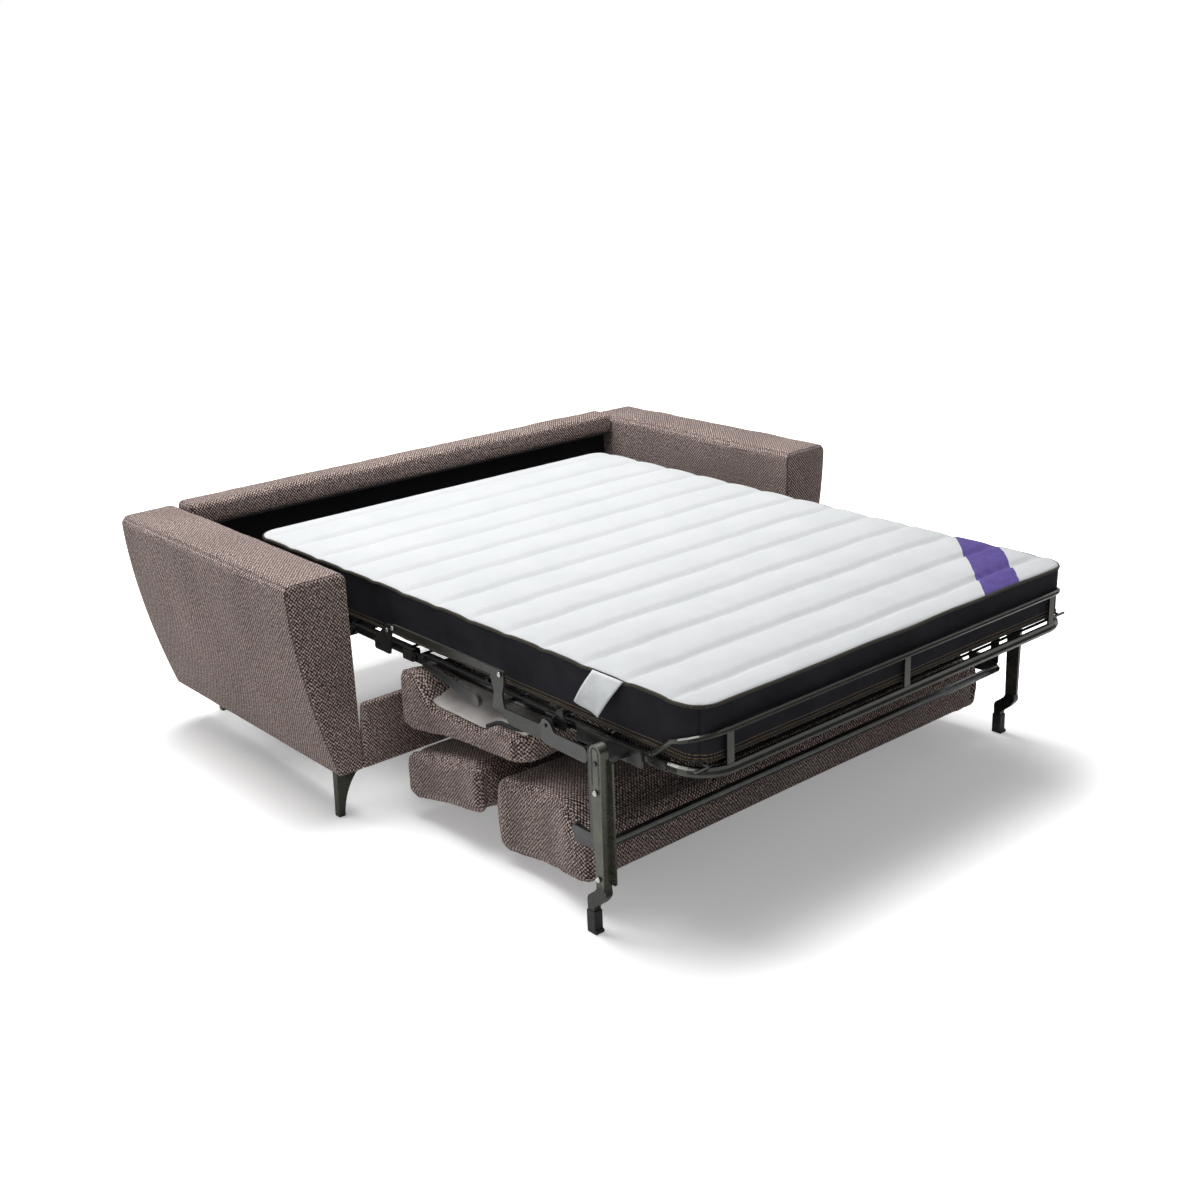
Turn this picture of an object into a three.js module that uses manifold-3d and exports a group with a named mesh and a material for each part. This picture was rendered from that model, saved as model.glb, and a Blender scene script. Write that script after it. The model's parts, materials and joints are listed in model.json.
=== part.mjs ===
// Sleeper sofa with a pull-out bed, drawn with the bed open.
// Lengths are millimetres. X runs across, Z is up, and depths are counted forward
// from the back of the sofa towards the foot of the bed.
import * as THREE from 'three';
import { mergeVertices } from 'three/addons/utils/BufferGeometryUtils.js';
import Module from 'manifold-3d';

const wasm = await Module();
wasm.setup();

// Driving sizes of the sofa
const armDepth = 976;
const armTop = 698;
const armBottom = 130;
const armThickness = 183;
const mechanismRoom = 137;
const armTaper = 110;
const armTaperPower = 1.72;
const armEdgeRound = 14;
const backTop = 711;
const backThickness = 45;
const rollFront = 97;
const rollHeight = 71;
const rollRound = 18;
const apronTop = 330;
const apronFront = 1007;
const apronThickness = 31;
const apronSlope = 30;
const linerThickness = 2.5;
const linerGap = 12;

// Driving sizes of the bed
const mattressWidth = 1400;
const mattressThickness = 144.9;
const mattressStart = 202;
const channelPitch = 150;
const channelDepth = 6;
const quiltRound = 14;
const cornerRound = 96;
const frameHeight = 448;
const railSize = 26;
const railRound = 6;
const frameOverhang = 14;
const firstHinge = 724;
const middleLength = 600;
const footLength = 484;
const stackGap = 4;
const wireSize = 5.4;

// Clearances
const touchGap = 0.3;
const pinGap = 0.5;
const laneGap = 2;
const overrun = 2;

// Places that follow from the driving sizes
const halfMattress = mattressWidth / 2;
const halfFrame = halfMattress + frameOverhang;
const armInner = halfFrame + mechanismRoom;
const halfSofa = armInner + armThickness;
const halfRail = railSize / 2;
const railInner = halfFrame - railSize;
const frameTop = frameHeight + halfRail;
const frameUnder = frameHeight - halfRail;
const deckTop = frameTop + 2 * wireSize;
const mattressBottom = deckTop + touchGap;
const mattressTop = mattressBottom + mattressThickness;
const bridgeLength = 2 * (mattressTop - frameHeight) + stackGap;
const secondHinge = firstHinge + bridgeLength;
const thirdHinge = secondHinge + middleLength;
const bedLength = thirdHinge + footLength;
const modelCentre = bedLength / 2;

// Helpers that turn outlines and boxes into geometry
function finish(geometry) {
  const plain = geometry.index ? geometry.toNonIndexed() : geometry.clone();
  plain.deleteAttribute('normal');
  plain.deleteAttribute('uv');
  return mergeVertices(plain, 1e-3);
}

function toSolid(geometry) {
  const closed = finish(geometry);
  return new wasm.Manifold(new wasm.Mesh({
    numProp: 3,
    vertProperties: new Float32Array(closed.attributes.position.array),
    triVerts: new Uint32Array(closed.index.array),
  }));
}

function toGeometry(solid) {
  const mesh = solid.getMesh();
  const geometry = new THREE.BufferGeometry();
  geometry.setAttribute('position', new THREE.BufferAttribute(mesh.vertProperties, 3));
  geometry.setIndex(new THREE.BufferAttribute(mesh.triVerts, 1));
  return geometry;
}

function fuse(...geometries) {
  return toGeometry(geometries.map(toSolid).reduce((whole, piece) => whole.add(piece)));
}

// A closed outline whose corners are rounded by the radius given with each point
function outline(points) {
  const shape = new THREE.Shape();
  points.forEach(([a, b, radius = 0], i) => {
    const corner = new THREE.Vector2(a, b);
    if (radius === 0) {
      if (i === 0) shape.moveTo(a, b);
      else shape.lineTo(a, b);
      return;
    }
    const before = points[(i + points.length - 1) % points.length];
    const after = points[(i + 1) % points.length];
    const start = new THREE.Vector2(before[0], before[1]).sub(corner).setLength(radius).add(corner);
    const end = new THREE.Vector2(after[0], after[1]).sub(corner).setLength(radius).add(corner);
    if (i === 0) shape.moveTo(start.x, start.y);
    else shape.lineTo(start.x, start.y);
    shape.quadraticCurveTo(a, b, end.x, end.y);
  });
  shape.closePath();
  return shape;
}

// A disc outline, for eyes and round ends
function disc(a, b, radius) {
  const shape = new THREE.Shape();
  shape.absarc(a, b, radius, 0, 2 * Math.PI, false);
  return shape;
}

function extrude(shape, length, roundSteps) {
  return new THREE.ExtrudeGeometry(shape, {
    depth: length,
    curveSegments: roundSteps,
    bevelEnabled: false,
  });
}

// A side outline of [depth, height] points, carried across from x = left to x = right
function across(shape, left, right, roundSteps = 3) {
  const geometry = extrude(shape, right - left, roundSteps);
  const basis = new THREE.Matrix4().makeBasis(
    new THREE.Vector3(0, -1, 0),
    new THREE.Vector3(0, 0, 1),
    new THREE.Vector3(-1, 0, 0),
  );
  geometry.applyMatrix4(basis);
  return geometry.translate(right, 0, 0);
}

// A front outline of [x, height] points, carried forward from one depth to another
function along(shape, from, to, roundSteps = 3) {
  const geometry = extrude(shape, to - from, roundSteps);
  geometry.rotateX(Math.PI / 2);
  return geometry.translate(0, -from, 0);
}

function box(left, right, from, to, low, high) {
  const geometry = new THREE.BoxGeometry(right - left, to - from, high - low);
  return geometry.translate((left + right) / 2, -(from + to) / 2, (low + high) / 2);
}

// A round bar across the sofa
function rod(left, right, depth, height, radius, sides = 12) {
  const geometry = new THREE.CylinderGeometry(radius, radius, right - left, sides);
  geometry.rotateZ(Math.PI / 2);
  return geometry.translate((left + right) / 2, -depth, height);
}

// A route of chosen points that a tube follows exactly
class Route extends THREE.Curve {
  constructor(points) {
    super();
    this.points = points;
  }

  getPoint(share) {
    const place = share * (this.points.length - 1);
    const i = Math.min(Math.floor(place), this.points.length - 2);
    return this.points[i].clone().lerp(this.points[i + 1], place - i);
  }

  getSpacedPoints() {
    return this.points;
  }

  getTangentAt(share) {
    const last = this.points.length - 1;
    const i = Math.round(share * last);
    const ahead = this.points[Math.min(i + 1, last)];
    const behind = this.points[Math.max(i - 1, 0)];
    return ahead.clone().sub(behind).normalize();
  }
}

function tube(points, radius, sides = 8) {
  const section = new THREE.Shape();
  for (let i = 0; i < sides; i += 1) {
    const turn = (2 * Math.PI * (i + 0.5)) / sides;
    const [a, b] = [radius * Math.cos(turn), radius * Math.sin(turn)];
    if (i === 0) section.moveTo(a, b);
    else section.lineTo(a, b);
  }
  section.closePath();
  const route = new Route(points.map(([x, depth, height]) => new THREE.Vector3(x, -depth, height)));
  return new THREE.ExtrudeGeometry(section, { steps: points.length - 1, extrudePath: route });
}

// The other side's copy, with its faces still pointing out
function mirrored(geometry) {
  const copy = finish(geometry);
  copy.scale(-1, 1, 1);
  const index = copy.index.array;
  for (let i = 0; i < index.length; i += 3) [index[i], index[i + 1]] = [index[i + 1], index[i]];
  return copy;
}

// A soft form: a block whose rounded surface is moved by its own shaping function
function pad(size, counts, round, shaping) {
  const geometry = finish(new THREE.BoxGeometry(2, 2, 2, ...counts));
  const place = geometry.attributes.position;
  const half = size.map((length) => length / 2);
  for (let i = 0; i < place.count; i += 1) {
    const shares = [place.getX(i), -place.getY(i), place.getZ(i)];
    const point = shares.map((share, axis) => {
      const inner = 1 - 2 / counts[axis];
      const flat = half[axis] - round;
      if (Math.abs(share) <= inner + 1e-6) return (share / inner) * flat;
      return Math.sign(share) * (flat + (round * (Math.abs(share) - inner)) / (1 - inner));
    });
    const core = point.map((value, axis) => (
      THREE.MathUtils.clamp(value, round - half[axis], half[axis] - round)
    ));
    const out = new THREE.Vector3(...point.map((value, axis) => value - core[axis]));
    if (out.length() > 0) out.setLength(round);
    const surface = [core[0] + out.x, core[1] + out.y, core[2] + out.z];
    const [x, depth, height] = shaping(surface, surface.map((value, axis) => value / half[axis]));
    place.setXYZ(i, x, -depth, height);
  }
  return geometry;
}

const sofa = new THREE.Group();
sofa.position.y = modelCentre;

function add(name, geometry, material) {
  const mesh = new THREE.Mesh(geometry, material());
  mesh.name = name;
  sofa.add(mesh);
}

function addPair(name, geometry, material) {
  add(`${name}_right`, geometry, material);
  add(`${name}_left`, mirrored(geometry), material);
}

// Materials
const surface = (color, roughness, metalness) => () => (
  new THREE.MeshStandardMaterial({ color, roughness, metalness })
);
const chenille = surface(0x6f625d, 0.95, 0);
const blackCloth = surface(0x15151a, 0.9, 0);
const greyLining = surface(0x8f8d8c, 0.85, 0);
const ticking = surface(0xf2f3f4, 0.8, 0);
const graphite = surface(0x4b4d46, 0.4, 0.8);
const blackSteel = surface(0x1b1c1f, 0.45, 0.7);
const oliveSteel = surface(0x2b2c1f, 0.45, 0.6);
const rubber = surface(0x17181a, 0.8, 0);

// Arms: upright inside, the outer face drawn in towards the foot
const armSolid = pad(
  [armThickness - touchGap, armDepth, armTop - armBottom],
  [4, 4, 12],
  armEdgeRound,
  ([x, depth, height], [, , w]) => {
    const outerShare = 0.5 + x / (armThickness - touchGap);
    const inset = armTaper * ((1 - w) / 2) ** armTaperPower;
    const middle = armInner + (armThickness + touchGap) / 2;
    return [middle + x - inset * outerShare, armDepth / 2 + depth, (armTop + armBottom) / 2 + height];
  },
);
addPair('arm', armSolid, chenille);

// Back panel with its padded roll, and the black liner under the roll
const innerWidth = armInner - touchGap;
const rollUnder = backTop - rollHeight;
add('back_panel', across(outline([
  [0, armBottom],
  [backThickness, armBottom],
  [backThickness, rollUnder],
  [rollFront, rollUnder, rollRound],
  [rollFront, backTop, rollRound],
  [0, backTop, rollRound],
]), -innerWidth, innerWidth), chenille);
add('back_liner', across(outline([
  [backThickness + touchGap, armBottom],
  [backThickness + touchGap + linerThickness, armBottom],
  [backThickness + touchGap + linerThickness, rollUnder - linerGap],
  [rollFront, rollUnder - touchGap - linerThickness],
  [rollFront, rollUnder - touchGap],
  [backThickness + touchGap, rollUnder - touchGap],
]), -innerWidth, innerWidth), blackCloth);

// Front apron between the arms, leaning forward to its top
add('front_apron', across(outline([
  [apronFront - apronSlope - apronThickness, armBottom],
  [apronFront - apronSlope, armBottom, linerGap],
  [apronFront, apronTop, linerGap],
  [apronFront - apronThickness, apronTop, linerGap],
]), -innerWidth, innerWidth), chenille);

// Sofa legs: a tapered block whose inner side sweeps out into a gusset under the sofa
const legFootSize = 19;
const legTopSize = 74;
const legThickness = 22;
const legInset = 2;
const legSplay = 4;
const legSetIn = 28;
const legWaistShare = 0.62;
const rearLegPlace = 795;
function sofaLeg(outerX, nearDepth) {
  const top = armBottom - touchGap;
  const shape = new THREE.Shape();
  shape.moveTo(outerX + legSplay - legFootSize, 0);
  shape.lineTo(outerX + legSplay, 0);
  shape.lineTo(outerX, top);
  shape.lineTo(outerX - legTopSize, top);
  shape.quadraticCurveTo(outerX - legFootSize, top * legWaistShare, outerX + legSplay - legFootSize, 0);
  shape.closePath();
  return along(shape, nearDepth, nearDepth + legThickness, 8);
}
const legOuter = halfSofa - armTaper - legInset;
addPair('sofa_leg_front', sofaLeg(legOuter, armDepth - legSetIn - legThickness), oliveSteel);
addPair('sofa_leg_rear', sofaLeg(rearLegPlace, (backThickness - legThickness) / 2), oliveSteel);

// Swing arms that let the head of the bed down, in two lanes beside the bed
const swingOpenAngle = 58;
const swingReach = 362.4;
const sine = (degrees) => Math.sin(THREE.MathUtils.degToRad(degrees));
const cosine = (degrees) => Math.cos(THREE.MathUtils.degToRad(degrees));
const frontSwingBack = 110;
const rearSwingBack = 460;
const swingHalfWidth = 13;
const swingThickness = 7;
const pinRadius = 6;
const pinHead = 3;
const platePivotMargin = 24;
const sidePlateThickness = 11;
const plateOuter = armInner - touchGap;
const plateInner = plateOuter - sidePlateThickness;
const frontLane = plateInner - laneGap;
const rearLane = frontLane - swingThickness - laneGap;
const swingBaseHeight = frameHeight - swingReach * sine(swingOpenAngle);
const swingBaseBack = swingReach * cosine(swingOpenAngle);
const frontPivot = firstHinge - frontSwingBack;
const rearPivot = firstHinge - rearSwingBack;

function swingArm(attachDepth, outerX) {
  const angle = THREE.MathUtils.degToRad(swingOpenAngle);
  const shape = new THREE.Shape();
  const base = [attachDepth - swingBaseBack, swingBaseHeight];
  shape.absarc(base[0], base[1], swingHalfWidth, angle + Math.PI / 2, angle + Math.PI * 1.5, false);
  shape.absarc(attachDepth, frameHeight, swingHalfWidth, angle - Math.PI / 2, angle + Math.PI / 2, false);
  shape.closePath();
  shape.holes.push(disc(base[0], base[1], pinRadius + pinGap));
  shape.holes.push(disc(attachDepth, frameHeight, pinRadius + pinGap));
  return across(shape, outerX - swingThickness, outerX, 8);
}
addPair('swing_arm_front', swingArm(frontPivot, frontLane), blackSteel);
addPair('swing_arm_rear', swingArm(rearPivot, rearLane), blackSteel);

// Side plates screwed inside the arms, which carry the swing arms' lower pins
const frontBase = frontPivot - swingBaseBack;
const rearBase = rearPivot - swingBaseBack;
const plateLow = swingBaseHeight - platePivotMargin;
const plateHigh = swingBaseHeight + 3 * platePivotMargin;
const plateBody = across(outline([
  [rearBase - platePivotMargin, plateLow, platePivotMargin],
  [frontBase + platePivotMargin, plateLow, platePivotMargin],
  [frontBase + platePivotMargin, plateHigh, platePivotMargin],
  [rearBase - platePivotMargin, plateHigh, platePivotMargin],
]), plateInner, plateOuter);
addPair('mechanism_plate', fuse(
  plateBody,
  rod(frontLane - swingThickness - pinHead / 2, plateInner + overrun, frontBase, swingBaseHeight, pinRadius),
  rod(rearLane - swingThickness - pinHead, plateInner + overrun, rearBase, swingBaseHeight, pinRadius),
), blackSteel);

// Frame rails: a rounded tube with hinge lugs beside it
const innerLug = halfFrame + laneGap;
const lugThickness = 5;
const outerLug = innerLug + lugThickness + laneGap;
const lugReach = 44;
const hingeCutBack = 18;
const deckCutBack = 30;
const hingePinRadius = 5;

function railBody(from, to) {
  const corner = railRound;
  return along(outline([
    [railInner, frameUnder, corner],
    [halfFrame, frameUnder, corner],
    [halfFrame, frameTop, corner],
    [railInner, frameTop, corner],
  ]), from, to, 2);
}

// An eye plate from the hinge line into the rail, towards +1 or -1 along the depth
function lugPlate(hinge, towards, left, hole) {
  const radius = halfRail - touchGap;
  const shape = new THREE.Shape();
  const turn = towards > 0 ? Math.PI / 2 : -Math.PI / 2;
  shape.absarc(hinge, frameHeight, radius, turn, turn + Math.PI, false);
  shape.lineTo(hinge + towards * lugReach, frameHeight - towards * radius);
  shape.lineTo(hinge + towards * lugReach, frameHeight + towards * radius);
  shape.closePath();
  if (hole) shape.holes.push(disc(hinge, frameHeight, hingePinRadius + pinGap));
  return across(shape, left, left + lugThickness, 6);
}

function lugSpacer(hinge, towards, right) {
  const [near, far] = [hinge + towards * (hingeCutBack + laneGap), hinge + towards * lugReach];
  const height = halfRail - railRound;
  return box(
    halfFrame - overrun,
    right,
    Math.min(near, far),
    Math.max(near, far),
    frameHeight - height,
    frameHeight + height,
  );
}

function pinnedEnd(hinge, towards) {
  return [
    lugPlate(hinge, towards, innerLug, false),
    lugSpacer(hinge, towards, innerLug + overrun),
    rod(innerLug + overrun, outerLug + lugThickness + pinHead, hinge, frameHeight, hingePinRadius),
  ];
}

function eyeEnd(hinge, towards) {
  return [
    lugPlate(hinge, towards, outerLug, true),
    lugSpacer(hinge, towards, outerLug + overrun),
  ];
}

// Welded wire deck: long wires lying on cross wires that rest on the rails
const longWires = 7;
const crossWirePitch = 130;
function deck(from, to) {
  const pieces = [];
  const low = frameTop + touchGap;
  const reach = halfFrame - railRound;
  const spans = Math.max(2, Math.round((to - from) / crossWirePitch));
  for (let i = 0; i <= spans; i += 1) {
    const place = from + ((to - from - wireSize) * i) / spans;
    pieces.push(box(-reach, reach, place, place + wireSize, low, low + wireSize));
  }
  for (let i = 0; i < longWires; i += 1) {
    const place = (halfMattress - railSize) * ((2 * i) / (longWires - 1) - 1);
    const [left, right] = [place - wireSize / 2, place + wireSize / 2];
    pieces.push(box(left, right, from, to, low + wireSize - touchGap, low + 2 * wireSize - touchGap));
  }
  return fuse(...pieces);
}

// A length of the mattress: quilted in channels across the bed, level underneath
// and with rounded plan corners where an end is free
function mattress(from, to, freeEnd = 0) {
  const length = to - from;
  const channels = Math.max(1, Math.round(length / channelPitch));
  const size = [mattressWidth, length, mattressTop - mattressBottom];
  const counts = [freeEnd === 0 ? 6 : 14, 4 * channels, 4];
  const middle = (from + to) / 2;
  const level = (mattressTop + mattressBottom) / 2;
  return pad(size, counts, quiltRound, ([x, depth, height], shares) => {
    const wave = (1 + Math.cos(Math.PI * channels * (shares[1] + 1))) / 2;
    const sink = shares[2] > 0 ? channelDepth * wave * (1 - Math.abs(shares[0]) ** 6) : 0;
    const beyondX = Math.abs(x) - (halfMattress - cornerRound);
    const beyondEnd = freeEnd * depth - (length / 2 - cornerRound);
    const place = [x, depth];
    if (freeEnd !== 0 && beyondX > 0 && beyondEnd > 0) {
      const pull = 1 - Math.max(beyondX, beyondEnd) / Math.hypot(beyondX, beyondEnd);
      place[0] -= Math.sign(x) * beyondX * pull;
      place[1] -= freeEnd * beyondEnd * pull;
    }
    return [place[0], middle + place[1], level + height - sink];
  });
}

// Head section, carried by the swing arms
const foldZoneShare = 0.43;
const foldZone = bridgeLength * foldZoneShare;
const headStart = mattressStart;
const tubeGap = touchGap;
addPair('head_rail', fuse(
  railBody(headStart, firstHinge - hingeCutBack),
  ...pinnedEnd(firstHinge, -1),
), graphite);
add('head_end_tube', box(
  tubeGap - railInner,
  railInner - tubeGap,
  headStart,
  headStart + railSize,
  frameUnder,
  frameTop,
), graphite);
add('head_deck', deck(headStart, firstHinge - deckCutBack), graphite);
add('mattress_head', mattress(headStart, firstHinge - foldZone, -1), ticking);

const carrierOuter = rearLane - swingThickness - pinHead - laneGap;
const carrierSheet = 4;
const carrierFlange = 12;
addPair('head_carrier', fuse(
  box(
    halfFrame + touchGap,
    carrierOuter,
    rearPivot - platePivotMargin,
    frontPivot + platePivotMargin,
    frameHeight - carrierSheet / 2,
    frameHeight + carrierSheet / 2,
  ),
  box(
    carrierOuter - carrierSheet,
    carrierOuter,
    rearPivot - platePivotMargin,
    frontPivot + platePivotMargin,
    frameHeight - carrierFlange,
    frameHeight + carrierFlange,
  ),
  rod(carrierOuter - overrun, frontLane + pinHead / 2, frontPivot, frameHeight, pinRadius),
  rod(carrierOuter - overrun, rearLane + pinHead / 2, rearPivot, frameHeight, pinRadius),
), blackSteel);

// Bridge section, which stands upright when the bed is folded
const hingePlateHigh = 74;
const hingePlateLong = 92;
const hingePlateSheet = 5;
const plateFootShare = 0.3;
const plateHeadShare = 0.2;
const plateTabShare = 1 / 3;
const rivetRiseShare = 0.78;
const hingePlateLeft = outerLug + lugThickness + pinHead + laneGap;
const rivetRadius = 7;
const rivetHead = 4;
const bridgePlateMiddle = (firstHinge + secondHinge) / 2 + railSize * 2;
addPair('bridge_rail', fuse(
  railBody(firstHinge + hingeCutBack, secondHinge - hingeCutBack),
  ...eyeEnd(firstHinge, 1),
  ...eyeEnd(secondHinge, -1),
), graphite);
addPair('bridge_plate', fuse(
  across(outline([
    [bridgePlateMiddle - hingePlateLong / 2, frameHeight - halfRail, railRound],
    [bridgePlateMiddle + hingePlateLong * plateFootShare, frameHeight - halfRail, railRound],
    [bridgePlateMiddle + hingePlateLong / 2, frameHeight + hingePlateHigh, railRound],
    [bridgePlateMiddle + hingePlateLong * plateHeadShare, frameHeight + hingePlateHigh, railRound],
    [bridgePlateMiddle - hingePlateLong / 2, frameHeight + halfRail, railRound],
  ]), hingePlateLeft, hingePlateLeft + hingePlateSheet),
  box(
    halfFrame + touchGap,
    hingePlateLeft + overrun,
    bridgePlateMiddle - hingePlateLong * plateTabShare,
    bridgePlateMiddle,
    frameHeight - halfRail / 2,
    frameHeight + halfRail / 2,
  ),
  rod(
    hingePlateLeft + overrun,
    hingePlateLeft + hingePlateSheet + rivetHead,
    bridgePlateMiddle + hingePlateLong * plateFootShare,
    frameHeight + hingePlateHigh * rivetRiseShare,
    rivetRadius,
  ),
), blackSteel);
add('bridge_deck', deck(firstHinge + deckCutBack, secondHinge - deckCutBack), graphite);
add('mattress_fold', mattress(firstHinge - foldZone + tubeGap, secondHinge + foldZone - tubeGap), ticking);

// Middle section, which turns over and carries the seat
addPair('middle_rail', fuse(
  railBody(secondHinge + hingeCutBack, thirdHinge - hingeCutBack),
  ...pinnedEnd(secondHinge, 1),
  ...pinnedEnd(thirdHinge, -1),
), graphite);
add('middle_deck', deck(secondHinge + deckCutBack, thirdHinge - hingeCutBack), graphite);
add('mattress_middle', mattress(secondHinge + foldZone, thirdHinge - stackGap / 2), ticking);

// Linkage of the middle section: a raised bar, its bracket and the flat bar below
const linkLeft = hingePlateLeft + hingePlateSheet + rivetHead + laneGap;
const linkSheet = 6;
const barHigh = 20;
const barRise = 78;
const barOvershoot = 56;
const barStart = secondHinge - barOvershoot;
const bracketShare = 0.68;
const bracketMiddle = secondHinge + middleLength * bracketShare;
const bracketHalf = 26;
const bracketDrop = 22;
const bracketWaist = 10;
const flatBarDrop = 48;
const flatBarHigh = 38;
const flatBarEye = 16;
const flatBarSlope = 26;
const barLevel = frameHeight + barRise;
const flatBarLow = frameHeight - flatBarDrop;
const flatBarTop = flatBarLow + flatBarHigh;
addPair('link_bar', fuse(
  across(outline([
    [barStart, barLevel - barHigh / 2, barHigh / 2],
    [bracketMiddle + bracketHalf - overrun, barLevel - barHigh / 2, barHigh / 2],
    [bracketMiddle + bracketHalf - overrun, barLevel + barHigh / 2, barHigh / 2],
    [barStart, barLevel + barHigh / 2, barHigh / 2],
  ]), linkLeft, linkLeft + linkSheet),
  across(outline([
    [bracketMiddle - bracketHalf, frameHeight - bracketDrop, railRound],
    [bracketMiddle + bracketHalf, frameHeight - bracketDrop],
    [bracketMiddle + bracketHalf - bracketWaist, frameHeight + bracketDrop, railRound],
    [bracketMiddle + bracketHalf, barLevel - barHigh, railRound],
    [bracketMiddle + bracketHalf, barLevel + barHigh / 2, railRound],
    [bracketMiddle - bracketHalf, barLevel - barHigh / 4],
    [bracketMiddle - bracketHalf, barLevel - barHigh, railRound],
    [bracketMiddle - bracketHalf + bracketWaist, frameHeight + bracketDrop, railRound],
  ]), linkLeft, linkLeft + linkSheet),
  across(outline([
    [bracketMiddle, frameHeight - bracketDrop + overrun],
    [bracketMiddle + bracketHalf - flatBarSlope / 2, frameHeight - bracketDrop + overrun],
    [bracketMiddle + bracketHalf + flatBarSlope / 2, flatBarLow, railRound],
    [thirdHinge + flatBarEye, flatBarLow, flatBarEye],
    [thirdHinge + flatBarEye, frameHeight + flatBarEye, flatBarEye],
    [thirdHinge - flatBarEye, frameHeight + flatBarEye, flatBarEye - touchGap],
    [thirdHinge - 2 * flatBarEye, flatBarTop, flatBarEye / 2],
    [bracketMiddle, flatBarTop],
  ]), linkLeft, linkLeft + linkSheet, 6),
  box(
    halfFrame + touchGap,
    linkLeft + overrun,
    bracketMiddle - bracketHalf / 2,
    bracketMiddle + bracketHalf / 2,
    frameHeight - halfRail / 2,
    frameHeight + halfRail / 2,
  ),
  rod(linkLeft + overrun, linkLeft + linkSheet + rivetHead, barStart + barHigh / 2, barLevel, rivetRadius),
  rod(
    linkLeft + overrun,
    linkLeft + linkSheet + rivetHead,
    bracketMiddle + bracketHalf / 2,
    barLevel,
    rivetRadius,
  ),
  rod(
    linkLeft + overrun,
    linkLeft + 2 * linkSheet + laneGap + rivetHead,
    thirdHinge,
    frameHeight,
    hingePinRadius,
  ),
), graphite);

// Lower arm with its round end, above the seat lining
const knobArmStart = 84;
const knobArmLength = 216;
const armStart = secondHinge + knobArmStart;
const armEnd = armStart + knobArmLength;
const armDrop = 30;
const knobRadius = 17;
const armTipShare = 0.8;
const armSheet = 8;
const armLeft = hingePlateLeft;
addPair('link_arm', fuse(
  across(outline([
    [armStart - knobRadius, frameHeight + halfRail / 2, railRound],
    [armStart - knobRadius, frameHeight - halfRail / 2, railRound],
    [armEnd, frameHeight - armDrop - knobRadius * armTipShare],
    [armEnd, frameHeight - armDrop + knobRadius * armTipShare],
    [armStart + knobRadius, frameHeight + halfRail / 2],
  ]), armLeft, armLeft + armSheet),
  rod(armLeft, armLeft + armSheet + rivetHead, armEnd, frameHeight - armDrop, knobRadius),
  box(
    halfFrame + touchGap,
    armLeft + overrun,
    armStart - halfRail,
    armStart + halfRail,
    frameHeight - halfRail / 2,
    frameHeight + halfRail / 2,
  ),
), blackSteel);

// Seat cushion, upside down under the middle section, on its lined board
const cushionOverhang = 62;
const cushionHalf = halfFrame + cushionOverhang;
const seatOvershoot = 32;
const seatDepth = 542;
const seatThickness = 152;
const seatTilt = 60;
const seatDrop = 55;
const seatFront = secondHinge - seatOvershoot;
const seatRear = seatFront + seatDepth;
const liningTop = frameHeight - seatDrop;
const seatFace = liningTop - seatThickness;
const seatRound = 34;
const seatCrown = 5;
const seatDraw = 12;
const lipRise = 30;
const lipEdgeRise = 34;
const lipLength = 96;
const seatCornerCut = 30;
const seatCornerShare = 0.94;
const lipStartShare = 1.6;
const boardStartShare = 2.4;
const boardThickness = 3;
const boardMargin = 60;
const endFall = 52;
const endFallShare = 0.7;
const fallStart = 346;
const fallEnd = 430;
const slopeStart = 590;
const boardHalf = 604;
add('seat_cushion', pad(
  [2 * cushionHalf, seatRear - seatFront, liningTop - seatFace],
  [14, 12, 4],
  seatRound,
  ([x, depth, height], [u, v, w]) => {
    const fromFront = depth + (seatRear - seatFront) / 2;
    const lip = THREE.MathUtils.smoothstep(lipLength * lipStartShare - fromFront, 0, lipLength);
    const edge = THREE.MathUtils.smoothstep(Math.abs(x), cushionHalf - seatRound, cushionHalf);
    const drawn = (1 - v * v) * seatDraw * Math.abs(u) ** 8;
    const crown = w < 0 ? seatCrown * (1 - u ** 4) * (1 - v * v) : 0;
    const tilt = w < 0 ? -w * seatTilt * (1 + v) / 2 : 0;
    const corner = Math.max(0, Math.abs(u) - seatCornerShare) / (1 - seatCornerShare);
    const cornerCut = v > 0 ? seatCornerCut * corner * v ** 6 : 0;
    const slope = THREE.MathUtils.smoothstep(Math.abs(x), slopeStart, cushionHalf);
    const level = 1 - endFallShare * THREE.MathUtils.smoothstep(fromFront, fallStart, fallEnd);
    const fall = (1 - lip) * endFall * slope * level;
    const raised = w > 0 ? lip * (lipRise + lipEdgeRise * edge) - w * fall : 0;
    const middle = (seatFront + seatRear) / 2;
    const centre = (liningTop + seatFace) / 2;
    const lift = w < 0 ? seatCrown : 0;
    return [
      x - Math.sign(x) * drawn,
      middle + depth - cornerCut,
      centre + height + lift + tilt - crown + raised,
    ];
  },
), chenille);

// Board over the seat cushion, with posts up to the middle section's deck
const boardLow = liningTop + touchGap;
const runnerHalf = 15;
const runnerInset = 112;
const frontRunner = 190;
const rearRunner = 440;
const runnerPlaces = [secondHinge + frontRunner, secondHinge + rearRunner];
const runnerLanes = [halfMattress - runnerInset, runnerInset - halfMattress];
function seatBoard() {
  const pieces = [box(
    -boardHalf,
    boardHalf,
    seatFront + lipLength * boardStartShare,
    seatRear - boardMargin / 2,
    boardLow,
    boardLow + boardThickness,
  )];
  runnerPlaces.forEach((place) => {
    runnerLanes.forEach((lane) => {
      pieces.push(box(
        lane - runnerHalf,
        lane + runnerHalf,
        place - runnerHalf,
        place + runnerHalf,
        boardLow,
        frameTop,
      ));
    });
  });
  return fuse(...pieces);
}
add('seat_board', seatBoard(), greyLining);

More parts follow.
